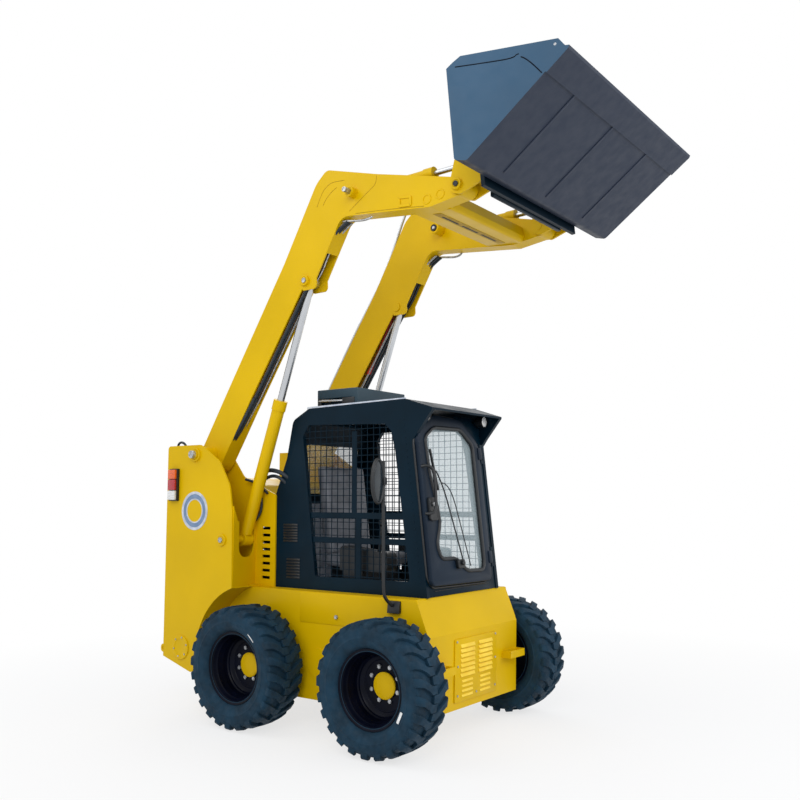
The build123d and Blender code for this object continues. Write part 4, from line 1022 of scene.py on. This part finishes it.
stud("pivot_pin", -1.095, 1.772, -0.720, -0.763, 0.027, "chassis", zinc, 0.004)
stud("lift_base_flange", -0.812, 1.187, -0.700, -0.727, 0.040, "chassis", yellow_enamel, 0.003)
stud("lift_base_pin", -0.812, 1.187, -0.715, -0.736, 0.018, "chassis", zinc, 0.003)
stud("tilt_tube", 0.202, 3.432, -0.450, -0.352, 0.040, "lift_arms", yellow_enamel, 0.006)
stud("tilt_tube_ring", 0.202, 3.432, -0.450, -0.3495, 0.024, "lift_arms", black_plastic, 0.004)
stud("tilt_tube_pin", 0.202, 3.432, -0.450, -0.3475, 0.012, "lift_arms", zinc)

# %% [markdown]
# The arms carry a rounded doubler plate, thin weld seams, and hoses and a pipe that run up the open
# channel and round the elbow. Seams and the elbow's grooves are thin lines of darker yellow; in the
# grooves that darker yellow is painted shade.

# %% Doubler plates, seams and hoses
doubler = plate("arm_doubler", [(0.566, 3.262), (0.668, 3.252), (0.668, 3.320), (0.566, 3.332)],
                facing_right(-0.565), 0.008, 0.014)
choose(doubler, "faces", lambda middle, way: way.y < -0.9)
bpy.ops.mesh.inset(thickness=0.016)
push((0, 0.006, 0))
leave(doubler)
soften(doubler, 0.002)
both(doubler, "lift_arms", yellow_enamel)
# Darker yellow lines: weld seams, and painted shade in the elbow's grooves.
SEAM_Y = -0.5655
for name, line in (
        ("elbow_groove_inner", [(-0.060, 3.400), (-0.020, 3.470), (0.060, 3.500)]),
        ("arm_seam", [(0.392, 3.505), (0.393, 3.456), (0.340, 3.425), (0.291, 3.395),
                      (0.170, 3.318)]),
        ("elbow_groove", [(-0.113, 3.401), (-0.073, 3.487), (-0.030, 3.525), (0.027, 3.548),
                          (0.126, 3.534)]),
        ("arm_lower_seam", [(0.220, 3.292), (0.500, 3.268), (0.760, 3.232)])):
    pipe(name, [(x, SEAM_Y, z) for x, z in line], 0.0022, "lift_arms", seam_enamel, 6)
UP_ARM = [(-0.900, 1.890), (-0.780, 2.060), (-0.690, 2.175), (-0.450, 2.537), (-0.228, 2.872),
          (-0.128, 2.985), (-0.085, 3.080), (0.010, 3.205), (0.128, 3.268)]
for name, y, shift, radius, paint in (
        ("arm_hose_black", -0.546, 0.012, 0.0095, hose_rubber),
        ("arm_hose_inner", -0.520, 0.006, 0.0095, hose_rubber),
        ("arm_hose_beige", -0.533, -0.006, 0.0075, hose_beige),
        ("arm_pipe", -0.490, 0.004, 0.008, zinc)):
    line = [(x + shift * 0.833, y, z - shift * 0.553) for x, z in UP_ARM]
    pipe(name, line, radius, "lift_arms", paint, slot="cab_plastic")
pipe("elbow_pipe", [(0.100, -0.545, 3.268), (0.128, -0.545, 3.266), (0.301, -0.545, 3.236),
                    (0.330, -0.530, 3.262)], 0.0075, "lift_arms", zinc)
pipe("far_arm_pipe", [(-0.132, 0.470, 3.640), (-0.156, 0.468, 3.600), (-0.262, 0.474, 3.353),
                      (-0.377, 0.474, 3.131), (-0.477, 0.474, 2.986), (-0.551, 0.474, 2.878),
                      (-0.616, 0.474, 2.790), (-0.946, 0.474, 2.262)],
     0.011, "lift_arms", rod_chrome, 10, twin=False)
for i, y in enumerate((-0.552, -0.530)):
    pipe(f"heel_hose_{i}", [(-1.130, y, 1.620), (-1.063, y, 1.698), (-0.942, y, 1.836),
                            (-0.823, y, 1.965), (-0.740, y, 2.085), (-0.690, y + 0.004, 2.160)],
         0.0125, "lift_arms", hose_rubber)
for i, y in enumerate((0.505, 0.525)):
    pipe(f"arm_hose_red_{i}", [(-0.520, y - 0.02, 2.430), (-0.455, y, 2.540), (-0.400, y, 2.640),
                               (-0.330, y, 2.780), (-0.300, y, 2.860)],
         0.010, "lift_arms", hose_red, twin=False)

# %% [markdown]
# Each tower carries a plain ring badge without a name, a bolted round cover and a tail lamp in
# three colours. Hoses leave it beside the arm's heel.

# %% Tower badges, covers and tail lamps
BADGE = (-1.096 + AXLE_MIDDLE, -0.7150, 1.381)
for name, inner, outer, height, paint in (
        ("badge_rim", 0.114, 0.134, 0.003, pale_grey),
        ("badge_band", 0.086, 0.114, 0.0022, badge_blue),
        ("badge_inner", 0.076, 0.086, 0.003, pale_grey)):
    ring = spun(name, [(0, outer), (height, outer - 0.001), (height, inner + 0.001), (0, inner)])
    for corner in ring.data.vertices:
        corner.co = (corner.co.x + BADGE[0], BADGE[1] - corner.co.y, corner.co.z + BADGE[2])
    both(ring, "chassis", paint, 30)
COVER = (-1.208, 0.441)
stud("tower_cover", *COVER, -0.712, -0.722, 0.082, "chassis", yellow_enamel, 0.002, 56)
turns = [math.radians(60 * i + 15) for i in range(6)]
bolts("tower_cover_bolts", [(COVER[0] + AXLE_MIDDLE + 0.066 * math.cos(t), -0.7215,
                             COVER[1] + 0.066 * math.sin(t)) for t in turns],
      0.0065, 0.006, TO_RIGHT, True)
box("tail_lamp_housing", (-1.352, -0.738, 1.450), (-1.264, -0.7145, 1.677), 0.004, 2, "chassis",
    black_plastic, True)
for name, low, high, paint in (("amber", 1.604, 1.670, amber_lens), ("red", 1.526, 1.600, red_lens),
                               ("clear", 1.457, 1.522, clear_lens)):
    box(f"tail_lens_{name}", (-1.346, -0.757, low), (-1.270, -0.736, high), 0.005, 3, "chassis",
        paint, True)
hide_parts("tail_lamps")
for name, line, radius in (
        ("tower_hose_loop", [(-1.372, -0.640, 1.780), (-1.385, -0.645, 1.850),
                             (-1.345, -0.640, 1.878), (-1.300, -0.630, 1.850),
                             (-1.290, -0.620, 1.790)], 0.0085),
        ("cab_hose_a", [(-0.740, -0.448, 1.600), (-0.690, -0.452, 1.650), (-0.620, -0.450, 1.665),
                        (-0.520, -0.440, 1.640), (-0.490, -0.400, 1.600)], 0.0150),
        ("cab_hose_b", [(-0.740, -0.438, 1.570), (-0.680, -0.439, 1.610), (-0.600, -0.439, 1.625),
                        (-0.530, -0.436, 1.600), (-0.510, -0.400, 1.560)], 0.0120),
        ("barrel_hose", [(-0.790, -0.468, 1.290), (-0.730, -0.455, 1.330), (-0.700, -0.452, 1.420),
                         (-0.720, -0.452, 1.500), (-0.790, -0.458, 1.560)], 0.0090),
        ("barrel_hose_b", [(-0.650, -0.452, 1.500), (-0.700, -0.456, 1.545),
                           (-0.760, -0.460, 1.580), (-0.850, -0.470, 1.600)], 0.0090)):
    pipe(name, line, radius, "chassis", hose_rubber)

# %% [markdown]
# The bucket's floor has three stiffening strips outside, and a bar locks the coupler.

# %% Bucket strips and coupler latch
HEEL_X, HEEL_Z, FLOOR_X, FLOOR_Z = 1.285 + AXLE_MIDDLE, 3.288, 0.802, 0.5975


def under_bucket(u, v, h):
    """A place under the bucket's floor: u from its heel to its lip, v across, h outwards."""
    out = h - 0.001
    return HEEL_X + FLOOR_X * u + out * FLOOR_Z, v, HEEL_Z + FLOOR_Z * u - out * FLOOR_X


for i, y in enumerate((-0.570, -0.055, 0.465)):
    strip = plate(f"bucket_strip_{i}", rectangle(0.045, y - 0.008, 0.605, y + 0.008),
                  under_bucket, 0.007)
    soften(strip, 0.002)
    finish(strip, "bucket_carrier", bucket_enamel)
edge_lines = [[(1.216, 3.839), (1.502, 3.788), (1.587, 3.780), (1.599, 3.792), (1.616, 3.791)],
              [(1.627, 3.771), (1.662, 3.757), (1.748, 3.647)]]
for i, line in enumerate(edge_lines):
    pipe(f"bucket_side_seam_{i}", [(x, -0.9095, z) for x, z in line], 0.0045, "bucket_carrier",
         seam_navy, 6)
stud("bucket_side_bolt", 1.826, 3.778, -0.905, -0.9125, 0.008, "bucket_carrier", zinc)
box("coupler_lock_bar", (1.150, -0.436, 3.246), (1.178, 0.436, 3.300), 0.005, 2,
    "bucket_carrier", navy_enamel)

# %% [markdown]
# The frame's side has a raised upper plate with its own lower edge, and one large bolt. Under the
# cross member a darker yellow strip is painted shade in its groove, and three dark plates are
# painted shade in its slots.

# %% Side plates, bolt and cross member slots
skirt = plate("side_skirt", [(-0.270, 0.670), (0.742, 0.670), (0.672, 0.846), (0.668, 0.864),
                             (-0.270, 0.864)], facing_right(-0.5175), 0.0045)
soften(skirt, 0.0015)
both(skirt, "chassis", yellow_enamel)
stud("side_bolt", 0.045, 0.721, -0.519, -0.532, 0.013, "chassis", zinc, 0.003)


def on_beam(u, v, h):
    """A place on the cross member's sloping underside."""
    return u + AXLE_MIDDLE, v, 3.244 - (u - 0.606) * 0.0803 - h


# A darker strip along the underside, painted shade in the cross member's groove.
channel = plate("beam_channel", rectangle(0.712, -0.400, 0.772, 0.400), on_beam, 0.0025)
soften(channel, 0.001, 1)
finish(channel, "lift_arms", seam_enamel)
# Three dark plates, painted shade in the cross member's slots.
slots = []
for low, high in ((-0.330, -0.140), (-0.095, 0.095), (0.140, 0.330)):
    slots.append(plate("slot", rectangle(0.728, low, 0.744, high),
                       lambda u, v, h: on_beam(u, v, h + 0.002), 0.0012, 0.006))
finish(join(slots, "beam_slots"), "lift_arms", cast_iron, slot="cab_plastic")

# %% [markdown]
# The cover on the nose is a bolted plate with two columns of raised louvres. The louvres are a
# paler yellow than the plate, a painted highlight for their lit upper faces.

# %% Front cover
def cover_x(z):
    return 0.7391 + AXLE_MIDDLE + (z - 0.232) * 0.0261


COVER_THICK = 0.008
cover = plate("front_cover_plate", rectangle(-0.245, 0.232, 0.245, 0.609),
              lambda u, v, h: (cover_x(v) + h, u, v), COVER_THICK, 0.012)
soften(cover, 0.002)
finish(cover, "chassis", yellow_enamel)
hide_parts("front_cover")
louvres = []
for column in (-0.105, 0.105):
    for row in range(11):
        small = row > 6
        z = 0.575 - row * 0.029 - (0.012 if small else 0)
        long, tall, proud = (0.062, 0.014, 0.005) if small else (0.080, 0.020, 0.009)
        slat = block("louvre", (cover_x(z) + 0.006, column - long, z - tall),
                     (cover_x(z) + COVER_THICK + proud, column + long, z))
        choose(slat, "corners", lambda co: co.z > z - 0.001 and co.x > cover_x(z) + 0.009)
        bpy.ops.transform.translate(value=(-proud + 0.0012, 0, 0))
        leave(slat)
        louvres.append(slat)
louvre = join(louvres, "front_louvres")
soften(louvre, 0.0025)
# The louvres take the paler yellow, a painted highlight.
finish(louvre, "chassis", bright_yellow)
COVER_BOLTS = [(-0.226, 0.590), (0.226, 0.590), (-0.215, 0.442), (0.226, 0.442),
               (-0.215, 0.268), (0.0, 0.262), (0.226, 0.268)]
bolts("front_cover_bolts", [(cover_x(z) + COVER_THICK, y, z) for y, z in COVER_BOLTS],
      0.0075, 0.007, TO_FRONT)

# %% [markdown]
# The seat is vinyl over foam: crowned cushions whose sides pull in between the corners. Each is
# a box, subdivided, with its faces raised towards the middle, then smoothed with a subdivision.

# %% Seat
def cushion(name, low, high, crown, lean=0.0):
    low, high = shifted((low, high))
    pad = block(name, low, high)
    soften(pad, 0.028, 3)
    choose(pad, "edges", lambda middle, way: True)
    bpy.ops.mesh.subdivide(number_cuts=3)
    leave(pad)
    middle = [(a + b) / 2 for a, b in zip(low, high)]
    halves = [(b - a) / 2 for a, b in zip(low, high)]
    thin = halves.index(min(halves))
    wide = [k for k in range(3) if k != thin]
    for corner in pad.data.vertices:
        flat = [(corner.co[k] - middle[k]) / halves[k] for k in range(3)]
        rise, seam = 1.0, 0.0
        for k in wide:
            rise *= max(0.0, 1 - flat[k] ** 2) ** 0.5
            seam = max(seam, math.exp(-((abs(flat[k]) - 0.56) / 0.05) ** 2))
        corner.co[thin] += math.copysign(crown * rise - 0.008 * seam, flat[thin])
        for k in wide:
            corner.co[k] -= flat[k] * halves[k] * 0.03 * (1 - abs(flat[3 - k - thin]))
        corner.co.x -= lean * (corner.co.z - low[2])
    modify(pad, "SUBSURF", levels=1, render_levels=1)
    finish(pad, "chassis", seat_vinyl, 60)
    return pad


pad = cushion("seat_cushion", (-0.325, -0.232, 1.010), (0.062, 0.232, 1.090), 0.016)
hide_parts("seat")
cushion("seat_back", (-0.333, -0.222, 1.085), (-0.255, 0.222, 1.690), 0.014, 0.13)
box("seat_base", (-0.300, -0.180, 0.8665), (0.020, 0.180, 1.008), 0.012, 3, "chassis",
    black_plastic)

# %% Colour settings
bpy.context.scene.view_settings.view_transform = "Standard"
